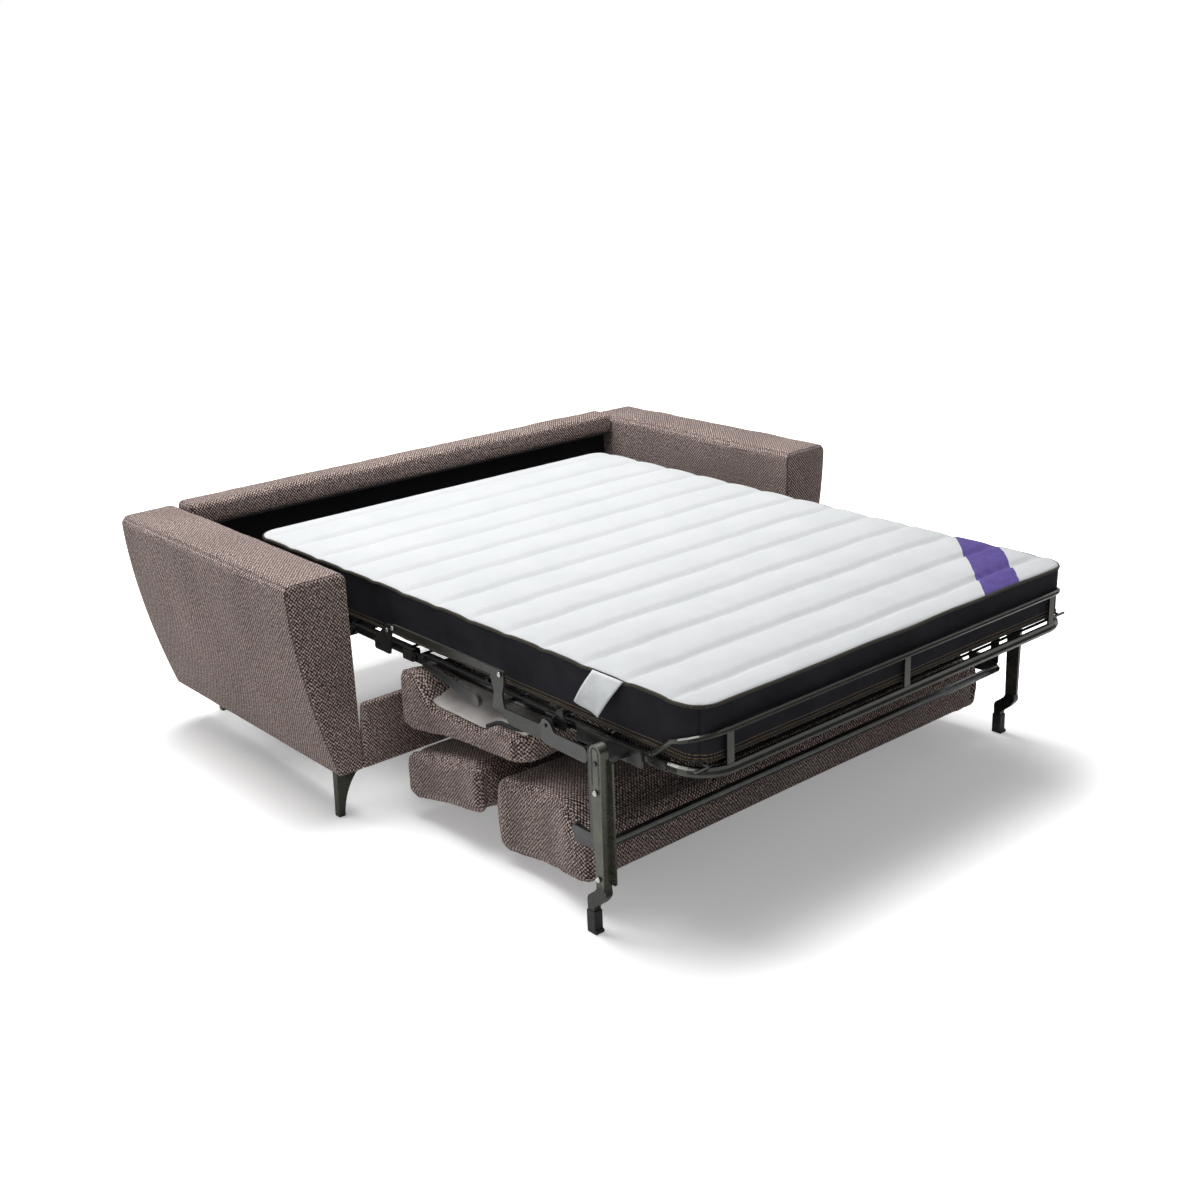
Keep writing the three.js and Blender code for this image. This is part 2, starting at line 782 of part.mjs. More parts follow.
// Foot section: side rails, the end tube round the foot, guard rail and brackets
const endTubeReach = 116;
const endTubeStart = bedLength - endTubeReach;
const endBend = 92;
const endRadius = halfRail;
addPair('foot_rail', fuse(
  railBody(thirdHinge + hingeCutBack, endTubeStart - touchGap),
  ...eyeEnd(thirdHinge, 1),
), graphite);

// Points of a quarter bend from a side line into a line across, for one side
function quarter(sideX, from, bendX, bendDepth, low, high, steps) {
  const points = [];
  for (let i = 0; i <= steps; i += 1) {
    const turn = (Math.PI / 2) * (i / steps);
    points.push([
      sideX - bendX * (1 - Math.cos(turn)),
      from + bendDepth * Math.sin(turn),
      low + (high - low) * Math.sin(turn),
    ]);
  }
  return points;
}
function roundTheFoot(rightSide) {
  const leftSide = rightSide.map(([x, depth, height]) => [-x, depth, height]).reverse();
  return [...rightSide, ...leftSide];
}
const sideLine = halfFrame - endRadius;
const footLine = bedLength - endRadius;
add('foot_end_tube', tube(roundTheFoot([
  [sideLine, endTubeStart, frameHeight],
  ...quarter(sideLine, footLine - endBend, endBend, endBend, frameHeight, frameHeight, 7),
]), endRadius, 10), graphite);

const guardRadius = 7;
const guardRise = 95;
const guardReach = 159;
const guardLevel = frameHeight + guardRise;
const guardStart = bedLength - guardReach;
const guardBend = 90;
const guardPostWidth = 22;
const guardPostSheet = 5;
const guardPostPlace = 616;
const guardPosts = [-guardPostPlace, 0, guardPostPlace];
const guardLine = bedLength - guardRadius - guardPostSheet;
const guardLow = frameTop + touchGap + guardRadius;
const guardShoulderDrop = 30;
const guardShoulder = guardLevel - guardShoulderDrop;
function guardRail() {
  const side = halfMattress + guardRadius + laneGap;
  const route = roundTheFoot([
    [side, guardStart, guardLow],
    ...quarter(side, guardLine - guardBend, guardBend, guardBend, guardShoulder, guardLevel, 6),
  ]);
  const pieces = [tube(route, guardRadius)];
  guardPosts.forEach((x) => {
    pieces.push(box(
      x - guardPostWidth / 2,
      x + guardPostWidth / 2,
      guardLine - guardPostSheet / 2,
      guardLine + guardPostSheet / 2,
      frameTop + touchGap,
      guardLevel,
    ));
  });
  return fuse(...pieces);
}
add('guard_rail', guardRail(), graphite);
add('foot_deck', deck(thirdHinge + hingeCutBack, bedLength - railSize), graphite);
const mattressEnd = guardLine - guardRadius - laneGap;
add('mattress_foot', mattress(thirdHinge + stackGap / 2, mattressEnd, 1), ticking);

// Brackets under the foot section: they carry the bed legs and the back's hinge
const legSetback = 243;
const legDepth = thirdHinge + legSetback;
const legLane = 73;
const legWidth = 25;
const hangerLane = 62.5;
const hangerSheet = 5;
const innerPlateSheet = 5;
const legPlateInner = halfFrame + legLane;
const hangerLeft = halfFrame + hangerLane;
const innerPlateLeft = hangerLeft + hangerSheet + laneGap / 2;
const pivotSetback = 119;
const pivotDrop = 218;
const backPivotDepth = legDepth - pivotSetback;
const backPivotHeight = frameHeight - pivotDrop;
const backOverhang = 55;
const backHalf = halfFrame + backOverhang;
const bracketStart = thirdHinge + lugReach + railSize;
const bracketEnd = legDepth + 2 * railSize;
const hangerHalf = 13;
const hangerSetback = 49;
const tailHalf = 11;
const flatBarReach = 150;
const flatBarLeft = linkLeft + linkSheet + laneGap;
const hangerMiddle = legDepth - hangerSetback;
addPair('leg_bracket', fuse(
  box(
    halfFrame + touchGap,
    halfFrame + touchGap + linkSheet,
    bracketStart,
    bracketEnd,
    frameUnder - halfRail,
    frameTop,
  ),
  box(
    halfFrame + linkSheet - overrun,
    hangerLeft + hangerSheet,
    hangerMiddle - hangerHalf,
    legDepth + hangerHalf,
    frameHeight - halfRail / 2,
    frameHeight + halfRail / 2,
  ),
  across(outline([
    [hangerMiddle - hangerHalf, frameHeight + halfRail / 2],
    [hangerMiddle - hangerHalf, backPivotHeight + tailHalf],
    [backPivotDepth - tailHalf, backPivotHeight + tailHalf, tailHalf],
    [backPivotDepth - tailHalf, backPivotHeight - tailHalf, tailHalf],
    [hangerMiddle + hangerHalf, backPivotHeight - tailHalf, tailHalf],
    [hangerMiddle + hangerHalf, frameHeight + halfRail / 2],
  ]), hangerLeft, hangerLeft + hangerSheet),
  rod(hangerLeft, legPlateInner + legWidth + pinHead, legDepth, frameHeight, pinRadius),
  rod(backHalf + touchGap, hangerLeft + overrun, backPivotDepth, backPivotHeight, pinRadius),
), blackSteel);

// Flat bar from the third hinge towards the head of the bed leg
function flatBar() {
  const shape = outline([
    [thirdHinge - flatBarEye, frameHeight + flatBarEye, flatBarEye - touchGap],
    [thirdHinge - flatBarEye, flatBarLow, flatBarEye],
    [thirdHinge + flatBarReach, flatBarLow - railRound / 2, flatBarEye],
    [thirdHinge + flatBarReach, flatBarTop, flatBarEye],
    [thirdHinge + 2 * flatBarEye, flatBarTop, flatBarEye / 2],
    [thirdHinge + flatBarEye, frameHeight + flatBarEye, flatBarEye - touchGap],
  ]);
  shape.holes.push(disc(thirdHinge, frameHeight, hingePinRadius + pinGap));
  return fuse(
    across(shape, flatBarLeft, flatBarLeft + linkSheet, 6),
    box(
      halfFrame + touchGap + linkSheet + touchGap,
      flatBarLeft + overrun,
      thirdHinge + flatBarReach - 3 * railRound,
      thirdHinge + flatBarReach - railRound,
      frameUnder - halfRail / 2,
      flatBarTop - railRound / 2,
    ),
  );
}
addPair('flat_bar', flatBar(), graphite);

// Bed legs: a flat channel with a round head, an inner plate, a bent shank and a boot
const legHeadRise = 46;
const legTop = frameHeight + legHeadRise;
const legHalf = 19;
const shankHalf = 11;
const shankStart = 128;
const bootTop = 58;
const kneeShift = 36;
const kneeWaist = 34;
const upperRivetDrop = 72;
const lowerRivetDrop = 292;
const legRivets = [frameHeight - upperRivetDrop, frameHeight - lowerRivetDrop];
function bedLeg() {
  const channel = new THREE.Shape();
  channel.absarc(legDepth, legTop - legHalf, legHalf, 0, Math.PI, false);
  channel.lineTo(legDepth - shankHalf, shankStart);
  channel.lineTo(legDepth + legHalf - railRound / 2, shankStart);
  channel.closePath();
  channel.holes.push(disc(legDepth, frameHeight, pinRadius + pinGap));
  const body = across(channel, legPlateInner, legPlateInner + legWidth, 8);
  const shank = across(outline([
    [legDepth - shankHalf, shankStart + shankHalf],
    [legDepth + legHalf - railRound / 2, shankStart + shankHalf],
    [legDepth + legHalf + railRound / 2, shankStart - shankHalf, shankHalf],
    [legDepth + shankHalf / 2, shankStart - kneeWaist, shankHalf],
    [legDepth + shankHalf - kneeShift, bootTop + shankHalf, shankHalf / 2],
    [legDepth + shankHalf - kneeShift, bootTop + touchGap],
    [legDepth - shankHalf - kneeShift, bootTop + touchGap],
    [legDepth - shankHalf - kneeShift - railRound / 3, shankStart - kneeWaist, shankHalf],
    [legDepth - shankHalf - laneGap, shankStart - shankHalf / 2, shankHalf],
  ]), legPlateInner + laneGap, legPlateInner + legWidth - laneGap);
  const rivets = legRivets.map((height) => (
    rod(innerPlateLeft + overrun, legPlateInner + legWidth + rivetHead, legDepth, height, rivetRadius)
  ));
  const innerPlate = outline([
    [legDepth - shankHalf, legTop - 2 * legHalf, shankHalf],
    [legDepth + legHalf + shankHalf, legTop - 2 * legHalf, shankHalf],
    [legDepth + legHalf + shankHalf, shankStart + shankHalf, shankHalf / 2],
    [legDepth, shankStart + shankHalf, shankHalf / 2],
  ]);
  innerPlate.holes.push(disc(legDepth, frameHeight, pinRadius + pinGap));
  const inner = across(innerPlate, innerPlateLeft, innerPlateLeft + innerPlateSheet, 6);
  return fuse(body, shank, inner, ...rivets);
}
addPair('bed_leg', bedLeg(), graphite);
const toe = 8;
addPair('bed_leg_boot', across(outline([
  [legDepth - shankHalf - kneeShift - linerThickness, 0],
  [legDepth + shankHalf - kneeShift + toe, 0, laneGap],
  [legDepth + shankHalf - kneeShift + toe, toe, laneGap],
  [legDepth + shankHalf - kneeShift + linerThickness, toe + laneGap],
  [legDepth + shankHalf - kneeShift + linerThickness, bootTop],
  [legDepth - shankHalf - kneeShift - linerThickness, bootTop],
]), legPlateInner, legPlateInner + legWidth), rubber);

// Back cushion, face up under the foot section, hinged near the bed legs
const backOvershoot = 38;
const backDepth = 388;
const backNear = backPivotDepth + backOvershoot;
const backFar = backNear - backDepth;
const backUndersideDrop = 418;
const backUnderside = frameHeight - backUndersideDrop;
const backTopRise = 10;
const backTilt = 42;
const backNearRise = 40;
const backSlopeDrop = 58;
const slopeStartShare = 0.7;
const slopeEndShare = 0.91;
const backHighFar = backPivotHeight + backTopRise;
const backHighNear = backHighFar + backNearRise;
const backRound = 38;
const backCrown = 10;
const backDraw = 14;
const backCrownShift = 0.3;
add('back_cushion', pad(
  [2 * backHalf, backNear - backFar, backHighFar - backUnderside],
  [14, 10, 6],
  backRound,
  ([x, depth, height], [u, v, w]) => {
    const share = (v + 1) / 2;
    const low = backUnderside + backTilt * share;
    const sloped = backSlopeDrop * THREE.MathUtils.smoothstep(share, slopeStartShare, slopeEndShare);
    const high = THREE.MathUtils.lerp(backHighFar, backHighNear, share) - sloped;
    const rise = (w + 1) / 2;
    const crown = w > 0 ? backCrown * (1 - u ** 4) * Math.max(0, 1 - (v + backCrownShift) ** 2) : 0;
    const drawn = 2 * backDraw * Math.max(0, 0.5 - v) * (1 + v) * Math.abs(u) ** 8;
    const middle = (backFar + backNear) / 2;
    return [x - Math.sign(x) * drawn, middle + depth, low + (high - low) * rise + crown];
  },
), chenille);

const crossbarSetback = 34;
const crossbarDrop = 17;
const crossbarDepth = legDepth - crossbarSetback;
const crossbarHeight = backPivotHeight - crossbarDrop;
const crossbarRadius = 12;
const endPlateLeft = backHalf + touchGap;
const endPlateSheet = 4.5;
add('back_crossbar', rod(
  -(endPlateLeft - touchGap),
  endPlateLeft - touchGap,
  crossbarDepth,
  crossbarHeight,
  crossbarRadius,
  16,
), graphite);
function endPlate() {
  const shape = outline([
    [backPivotDepth + 2 * hangerHalf, backPivotHeight - 3 * hangerHalf, crossbarRadius],
    [crossbarDepth, crossbarHeight - crossbarRadius, crossbarRadius / 2],
    [crossbarDepth + crossbarRadius, crossbarHeight, crossbarRadius / 2],
    [crossbarDepth, crossbarHeight + crossbarRadius, crossbarRadius / 2],
    [backPivotDepth + hangerHalf, backPivotHeight + hangerHalf, hangerHalf / 2],
    [backPivotDepth - hangerHalf, backPivotHeight + hangerHalf, hangerHalf / 2],
    [backPivotDepth - hangerHalf, backPivotHeight - 3 * hangerHalf, hangerHalf / 2],
  ]);
  shape.holes.push(disc(backPivotDepth, backPivotHeight, pinRadius + pinGap));
  return across(shape, endPlateLeft, endPlateLeft + endPlateSheet, 6);
}
addPair('back_end_plate', endPlate(), blackSteel);

// Headrest cushion, on two strap hinges behind the back cushion
const restOverhang = 72;
const restHalf = halfFrame + restOverhang;
const restLength = 350;
const restSpacing = 28;
const restNear = backFar - restSpacing;
const restFar = restNear - restLength;
const restUndersideDrop = 396;
const restUnderside = frameHeight - restUndersideDrop;
const restTilt = 66;
const restThickness = 138;
const restRound = 30;
const restDraw = 12;
const restCrown = 8;
add('headrest_cushion', pad(
  [2 * restHalf, restNear - restFar, restThickness],
  [14, 8, 4],
  restRound,
  ([x, depth, height], [u, v, w]) => {
    const share = (v + 1) / 2;
    const crown = w > 0 ? restCrown * (1 - u ** 4) * (1 - v * v) : 0;
    const drawn = (1 - v * v) * restDraw * Math.abs(u) ** 8;
    const middle = (restFar + restNear) / 2;
    const level = restUnderside + restTilt * share + restThickness / 2;
    return [x - Math.sign(x) * drawn, middle + depth, level + height + crown];
  },
), chenille);

// Strap hinges between the back cushion and the headrest cushion
const restAxisGap = 12;
const restAxisRise = 33;
const restAxisDepth = backFar - restAxisGap;
const restAxisHeight = restUnderside + restAxisRise;
const strapHalfWidth = 30;
const strapSheet = 4;
const strapRise = 111;
const strapTop = restAxisHeight + strapRise;
const strapPad = 36;
const strapPlace = 380;
const earGap = 2;
const earSheet = 6;
const earInner = strapPlace + strapHalfWidth + earGap;
addPair('headrest_hinge', fuse(
  rod(
    strapPlace - strapHalfWidth,
    earInner + earSheet + pinHead,
    restAxisDepth,
    restAxisHeight,
    hingePinRadius,
  ),
  box(
    strapPlace - strapHalfWidth,
    strapPlace + strapHalfWidth,
    restAxisDepth - strapSheet / 2,
    restAxisDepth + strapSheet / 2,
    restAxisHeight,
    strapTop,
  ),
  box(
    strapPlace - strapHalfWidth / 2,
    strapPlace + strapHalfWidth / 2,
    restNear + touchGap,
    backFar - touchGap,
    strapTop - strapPad,
    strapTop,
  ),
), blackSteel);

// Bracket on the headrest's near face, with two ears that turn on the strap hinges' pins
const earRadius = 10;
const bracketSheet = 4;
const bracketRise = 12;
const bracketBand = 12;
const bracketWing = 28;
const bracketReach = 125;
const bracketFar = restNear + touchGap;
const bracketLow = restAxisHeight + bracketRise;

function bracketBox(left, right, top) {
  return box(left, right, bracketFar, bracketFar + bracketSheet, bracketLow, top);
}

function bracketSide() {
  const shape = new THREE.Shape();
  shape.absarc(restAxisDepth, restAxisHeight, earRadius, -Math.PI / 2, Math.PI / 2, false);
  shape.lineTo(bracketFar, bracketLow + bracketBand);
  shape.lineTo(bracketFar, restAxisHeight);
  shape.closePath();
  shape.holes.push(disc(restAxisDepth, restAxisHeight, hingePinRadius + pinGap));
  return fuse(
    across(shape, earInner, earInner + earSheet, 6),
    bracketBox(earInner, earInner + bracketWing, restAxisHeight + bracketReach),
  );
}
add('headrest_bracket', fuse(
  bracketBox(-earInner - earSheet, earInner + earSheet, bracketLow + bracketBand),
  bracketSide(),
  mirrored(bracketSide()),
), blackSteel);

export default sofa;
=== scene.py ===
import json
import math

import bmesh
import bpy
import numpy as np
from mathutils import Matrix, Vector


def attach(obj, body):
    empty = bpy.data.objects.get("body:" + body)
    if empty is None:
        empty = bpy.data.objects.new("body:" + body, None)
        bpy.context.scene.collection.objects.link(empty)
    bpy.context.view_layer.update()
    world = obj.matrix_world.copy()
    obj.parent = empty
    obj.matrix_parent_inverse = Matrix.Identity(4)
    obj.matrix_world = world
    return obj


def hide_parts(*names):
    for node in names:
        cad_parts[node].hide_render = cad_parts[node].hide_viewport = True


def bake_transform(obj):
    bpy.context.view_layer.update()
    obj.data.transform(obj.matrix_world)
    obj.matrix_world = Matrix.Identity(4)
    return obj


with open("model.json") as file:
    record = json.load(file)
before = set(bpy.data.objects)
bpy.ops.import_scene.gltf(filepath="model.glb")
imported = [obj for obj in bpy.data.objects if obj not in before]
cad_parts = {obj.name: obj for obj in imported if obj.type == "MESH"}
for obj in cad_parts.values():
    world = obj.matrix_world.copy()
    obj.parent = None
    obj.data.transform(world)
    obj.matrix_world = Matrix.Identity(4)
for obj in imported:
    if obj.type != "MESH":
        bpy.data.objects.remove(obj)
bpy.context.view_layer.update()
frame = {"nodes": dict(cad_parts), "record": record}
scene = bpy.context.scene

MM = 0.001
CENTRE = 1075.0
NODES = frame["nodes"]
TINY = 1e-9

# The mattress, in mm from the back of the sofa and above the floor
M_START, M_END, M_HALF = 202.0, 2129.0, 700.0
M_MIDDLE = (M_START + M_END) / 2
M_TOP, M_LOW = 617.0, 472.0


def at(x, depth, height):
    """A point in metres from x, depth from the back of the sofa and height, in millimetres."""
    return Vector((x * MM, (CENTRE - depth) * MM, height * MM))


# Meshes


def new_object(name, verts, faces):
    mesh = bpy.data.meshes.new(name)
    mesh.from_pydata([tuple(v) for v in verts], [], [tuple(f) for f in faces])
    mesh.validate()
    mesh.update()
    obj = bpy.data.objects.new(name, mesh)
    scene.collection.objects.link(obj)
    mesh.shade_smooth()
    return obj


def vectors(collection, key):
    """The vectors of a mesh's vertices or faces as rows."""
    rows = np.empty(len(collection) * 3)
    collection.foreach_get(key, rows)
    return rows.reshape(-1, 3)


def read(obj):
    return vectors(obj.data.vertices, "co")


def write(obj, co):
    obj.data.vertices.foreach_set("co", np.asarray(co, float).ravel())
    obj.data.update()


def place_points(obj, x, depth, height):
    """Writes the points of obj from arrays of x, depth and height in millimetres."""
    write(obj, np.stack([x * MM, (CENTRE - depth) * MM, height * MM], 1))


def grid_box(name, xs, ys, zs):
    """The surface of a box with its own grid lines along each axis."""
    index, verts, faces = {}, [], []

    def vertex(i, j, k):
        key = (i, j, k)
        if key not in index:
            index[key] = len(verts)
            verts.append((xs[i], ys[j], zs[k]))
        return index[key]

    a, b, c = len(xs) - 1, len(ys) - 1, len(zs) - 1
    for i in range(a):
        for j in range(b):
            faces.append([vertex(i, j, 0), vertex(i, j + 1, 0), vertex(i + 1, j + 1, 0), vertex(i + 1, j, 0)])
            faces.append([vertex(i, j, c), vertex(i + 1, j, c), vertex(i + 1, j + 1, c), vertex(i, j + 1, c)])
    for i in range(a):
        for k in range(c):
            faces.append([vertex(i, 0, k), vertex(i + 1, 0, k), vertex(i + 1, 0, k + 1), vertex(i, 0, k + 1)])
            faces.append([vertex(i, b, k), vertex(i, b, k + 1), vertex(i + 1, b, k + 1), vertex(i + 1, b, k)])
    for j in range(b):
        for k in range(c):
            faces.append([vertex(0, j, k), vertex(0, j, k + 1), vertex(0, j + 1, k + 1), vertex(0, j + 1, k)])
            faces.append([vertex(a, j, k), vertex(a, j + 1, k), vertex(a, j + 1, k + 1), vertex(a, j, k + 1)])
    return new_object(name, verts, faces)


def lines(half, step, edge, edge_step):
    """Grid lines from -half to half, closer together within edge of both ends."""
    inner = np.linspace(-(half - edge), half - edge, max(2, int(round(2 * (half - edge) / step)) + 1))
    rim = np.linspace(half - edge, half, max(2, int(round(edge / edge_step)) + 1))[1:]
    return np.concatenate([-rim[::-1], inner, rim])


def refined(base, marks, reach=7.0, fine=1.4):
    """The grid lines with closer ones added round each mark, where a seam is sewn."""
    extra = np.concatenate([mark + np.arange(-reach, reach + fine / 2, fine) for mark in marks])
    extra = extra[(extra > base[0]) & (extra < base[-1])]
    near = np.min(np.abs(base[:, None] - extra[None, :]), axis=1)
    return np.unique(np.concatenate([base[:1], base[near > fine * 0.7], extra, base[-1:]]))


def rounded(co, half, radius):
    """Moves the points of a box so that its edges and corners are round."""
    core = np.clip(co, radius - half, half - radius)
    out = co - core
    length = np.linalg.norm(out, axis=1)
    scale = np.where(length > TINY, radius / np.maximum(length, TINY), 0)
    return core + out * scale[:, None]


def round_corners(co, half_a, half_b, radius, axes=(0, 1)):
    """Pulls the corners of a rectangle, seen along the third axis, into quarter circles."""
    a, b = axes
    over_a = np.abs(co[:, a]) - (half_a - radius)
    over_b = np.abs(co[:, b]) - (half_b - radius)
    inside = (over_a > 0) & (over_b > 0)
    reach = np.maximum(np.hypot(over_a, over_b), TINY)
    pull = np.where(inside, 1 - np.maximum(over_a, over_b) / reach, 0)
    co[:, a] -= np.sign(co[:, a]) * over_a * pull
    co[:, b] -= np.sign(co[:, b]) * over_b * pull
    return co


def noise3(co, size, seed=0):
    """A smooth, seeded noise from a few turned waves, between about -1 and 1."""
    rng = np.random.default_rng(seed)
    total = np.zeros(len(co))
    for _ in range(7):
        way = rng.normal(size=3)
        way /= np.linalg.norm(way)
        total += np.sin(co @ way * (2 * math.pi / size) * rng.uniform(0.6, 1.5) + rng.uniform(0, 6.3))
    return total / 4.0


def unit(value):
    return np.clip(value, 0, 1)


def smoothstep(value, low, high):
    t = unit((value - low) / (high - low))
    return t * t * (3 - 2 * t)


def tube_mesh(points, radius, sides=8, closed=False):
    """Vertices and faces of a round tube along points."""
    pts = [Vector(p) for p in points]
    count = len(pts)
    verts, faces = [], []
    previous = None
    for i, p in enumerate(pts):
        ahead = pts[(i + 1) % count] if closed or i < count - 1 else p
        behind = pts[i - 1] if closed or i > 0 else p
        way = (ahead - behind).normalized()
        if previous is None:
            side = way.orthogonal().normalized()
        else:
            side = (previous - way * previous.dot(way)).normalized()
        previous = side
        across = way.cross(side)
        for s in range(sides):
            turn = 2 * math.pi * s / sides
            verts.append(p + side * (radius * math.cos(turn)) + across * (radius * math.sin(turn)))
    last = count if closed else count - 1
    for i in range(last):
        for s in range(sides):
            a, b = i * sides + s, i * sides + (s + 1) % sides
            c, d = ((i + 1) % count) * sides + (s + 1) % sides, ((i + 1) % count) * sides + s
            faces.append([a, b, c, d])
    if not closed:
        faces.append(list(range(sides))[::-1])
        faces.append([(count - 1) * sides + s for s in range(sides)])
    return verts, faces


def dome(centre, way, radius, height, sides=20, rings=5):
    """A domed rivet head standing on centre and pointing along way."""
    way = Vector(way).normalized()
    side = way.orthogonal().normalized()
    across = way.cross(side)
    verts, faces = [], []
    for ring in range(rings):
        lift = math.sin(0.5 * math.pi * ring / rings)
        size = radius * math.cos(0.5 * math.pi * ring / rings) ** 0.6
        for s in range(sides):
            turn = 2 * math.pi * s / sides
            a, b = size * math.cos(turn), size * math.sin(turn)
            verts.append(centre + way * (height * lift) + side * a + across * b)
    verts.append(centre + way * height)
    for ring in range(rings - 1):
        for s in range(sides):
            a, b = ring * sides + s, ring * sides + (s + 1) % sides
            faces.append([a, b, b + sides, a + sides])
    for s in range(sides):
        faces.append([(rings - 1) * sides + s, (rings - 1) * sides + (s + 1) % sides, len(verts) - 1])
    faces.append(list(range(sides))[::-1])
    return verts, faces


def joined(name, parts):
    """One object from several (vertices, faces) lists."""
    verts, faces = [], []
    for v, f in parts:
        start = len(verts)
        verts += list(v)
        faces += [[start + i for i in face] for face in f]
    return new_object(name, verts, faces)


# Materials
WHITE = (1, 1, 1, 1)
FULL_TURN = 2 * math.pi


def settle(node, **inputs):
    """Sets the inputs of a node, whose names have _ for each space."""
    for key, value in inputs.items():
        node.inputs[key.replace("_", " ")].default_value = value


class Nodes:
    """A short way to build one material's node tree."""

    def __init__(self, name, roughness, metallic=0.0, sheen=0.0, specular=0.5, coat=0.0):
        self.material = bpy.data.materials.new(name)
        self.material.use_nodes = True
        self.tree = self.material.node_tree
        self.shader = self.tree.nodes["Principled BSDF"]
        settle(self.shader, Roughness=roughness, Metallic=metallic, Sheen_Weight=sheen,
               Specular_IOR_Level=specular, Coat_Weight=coat)

    def add(self, kind, **values):
        node = self.tree.nodes.new("ShaderNode" + kind)
        for key, value in values.items():
            setattr(node, key, value)
        return node

    def link(self, out, into):
        self.tree.links.new(out, into)

    def math(self, operation, *values, clamp=False):
        node = self.add("Math", operation=operation, use_clamp=clamp)
        for socket, value in zip(node.inputs, values):
            if isinstance(value, (int, float)):
                socket.default_value = value
            else:
                self.link(value, socket)
        return node.outputs[0]

    def times(self, a, b, clamp=False):
        return self.math("MULTIPLY", a, b, clamp=clamp)

    def plus(self, a, b, clamp=False):
        return self.math("ADD", a, b, clamp=clamp)

    def minus(self, a, b, clamp=False):
        return self.math("SUBTRACT", a, b, clamp=clamp)

    def ribs(self, value, repeat):
        """A sine wave along value, which comes again after each repeat."""
        return self.math("SINE", self.times(value, FULL_TURN / repeat))

    def vector(self, x, y):
        node = self.add("CombineXYZ")
        self.link(x, node.inputs[0])
        self.link(y, node.inputs[1])
        return node.outputs[0]

    def coords(self, attribute=None):
        if attribute:
            return self.add("Attribute", attribute_name=attribute).outputs["Vector"]
        return self.add("TexCoord").outputs["Object"]

    def separate(self, vector):
        node = self.add("SeparateXYZ")
        self.link(vector, node.inputs[0])
        return node.outputs

    def noise(self, vector, scale, detail):
        node = self.add("TexNoise")
        self.link(vector, node.inputs["Vector"])
        settle(node, Scale=scale, Detail=detail, Roughness=0.55)
        return node.outputs["Fac"]

    def ramp(self, fac, *stops):
        node = self.add("ValToRGB")
        ramp = node.color_ramp
        while len(ramp.elements) < len(stops):
            ramp.elements.new(0.5)
        for element, (place, color) in zip(ramp.elements, stops):
            element.position = place
            element.color = (*color, 1)
        self.link(fac, node.inputs["Fac"])
        return node.outputs["Color"]

    def mix(self, fac, a, b, mode="MIX"):
        node = self.add("Mix", data_type="RGBA", blend_type=mode)
        sockets = [s for s in node.inputs if s.enabled]
        for socket, value in zip(sockets, (fac, a, b)):
            if isinstance(value, (int, float)):
                socket.default_value = value
            elif isinstance(value, (tuple, list)):
                socket.default_value = (*value, 1)
            else:
                self.link(value, socket)
        return [o for o in node.outputs if o.enabled][0]

    def color(self, value):
        self.link(value, self.shader.inputs["Base Color"])

    def bump(self, height, distance, strength):
        node = self.add("Bump")
        settle(node, Distance=distance, Strength=strength)
        self.link(height, node.inputs["Height"])
        existing = self.shader.inputs["Normal"].links
        if existing:
            self.link(existing[0].from_socket, node.inputs["Normal"])
        self.link(node.outputs[0], self.shader.inputs["Normal"])

    def roughness(self, fac, low, high):
        node = self.add("MapRange")
        settle(node, To_Min=low, To_Max=high)
        self.link(fac, node.inputs["Value"])
        self.link(node.outputs[0], self.shader.inputs["Roughness"])

    def pick(self, chosen, other, value):
        """One of two vectors: value where chosen is 1, and other where it is 0."""
        node = self.add("Mix", data_type="VECTOR")
        self.link(chosen, node.inputs[0])
        self.link(other, node.inputs[4])
        self.link(value, node.inputs[5])
        return node.outputs[1]

    def flat_coords(self):
        """Coordinates in a face's own plane, picked by its normal, so that a weave never stretches."""
        position = self.separate(self.coords())
        normal = self.separate(self.add("TexCoord").outputs["Normal"])
        ax, ay, az = (self.math("ABSOLUTE", normal[i]) for i in range(3))
        side = self.times(self.math("GREATER_THAN", ax, ay), self.math("GREATER_THAN", ax, az))
        front = self.math("GREATER_THAN", ay, az)
        flat_front = self.vector(position[0], position[2])
        flat_top = self.vector(position[0], position[1])
        flat_side = self.vector(position[1], position[2])
        return self.pick(side, self.pick(front, flat_top, flat_front), flat_side)


# Repeats in metres: the weave's lozenges, the ticking's knit, and the stitches
WEAVE_ACROSS, WEAVE_UP = 0.0096, 0.0110
KNIT_ACROSS, KNIT_UP = 0.0032, 0.0045
BORDER_RIB, PIPING_RIB = 0.0021, 0.0026
BORDER_STITCH, PIPING_STITCH = 0.0062, 0.0075


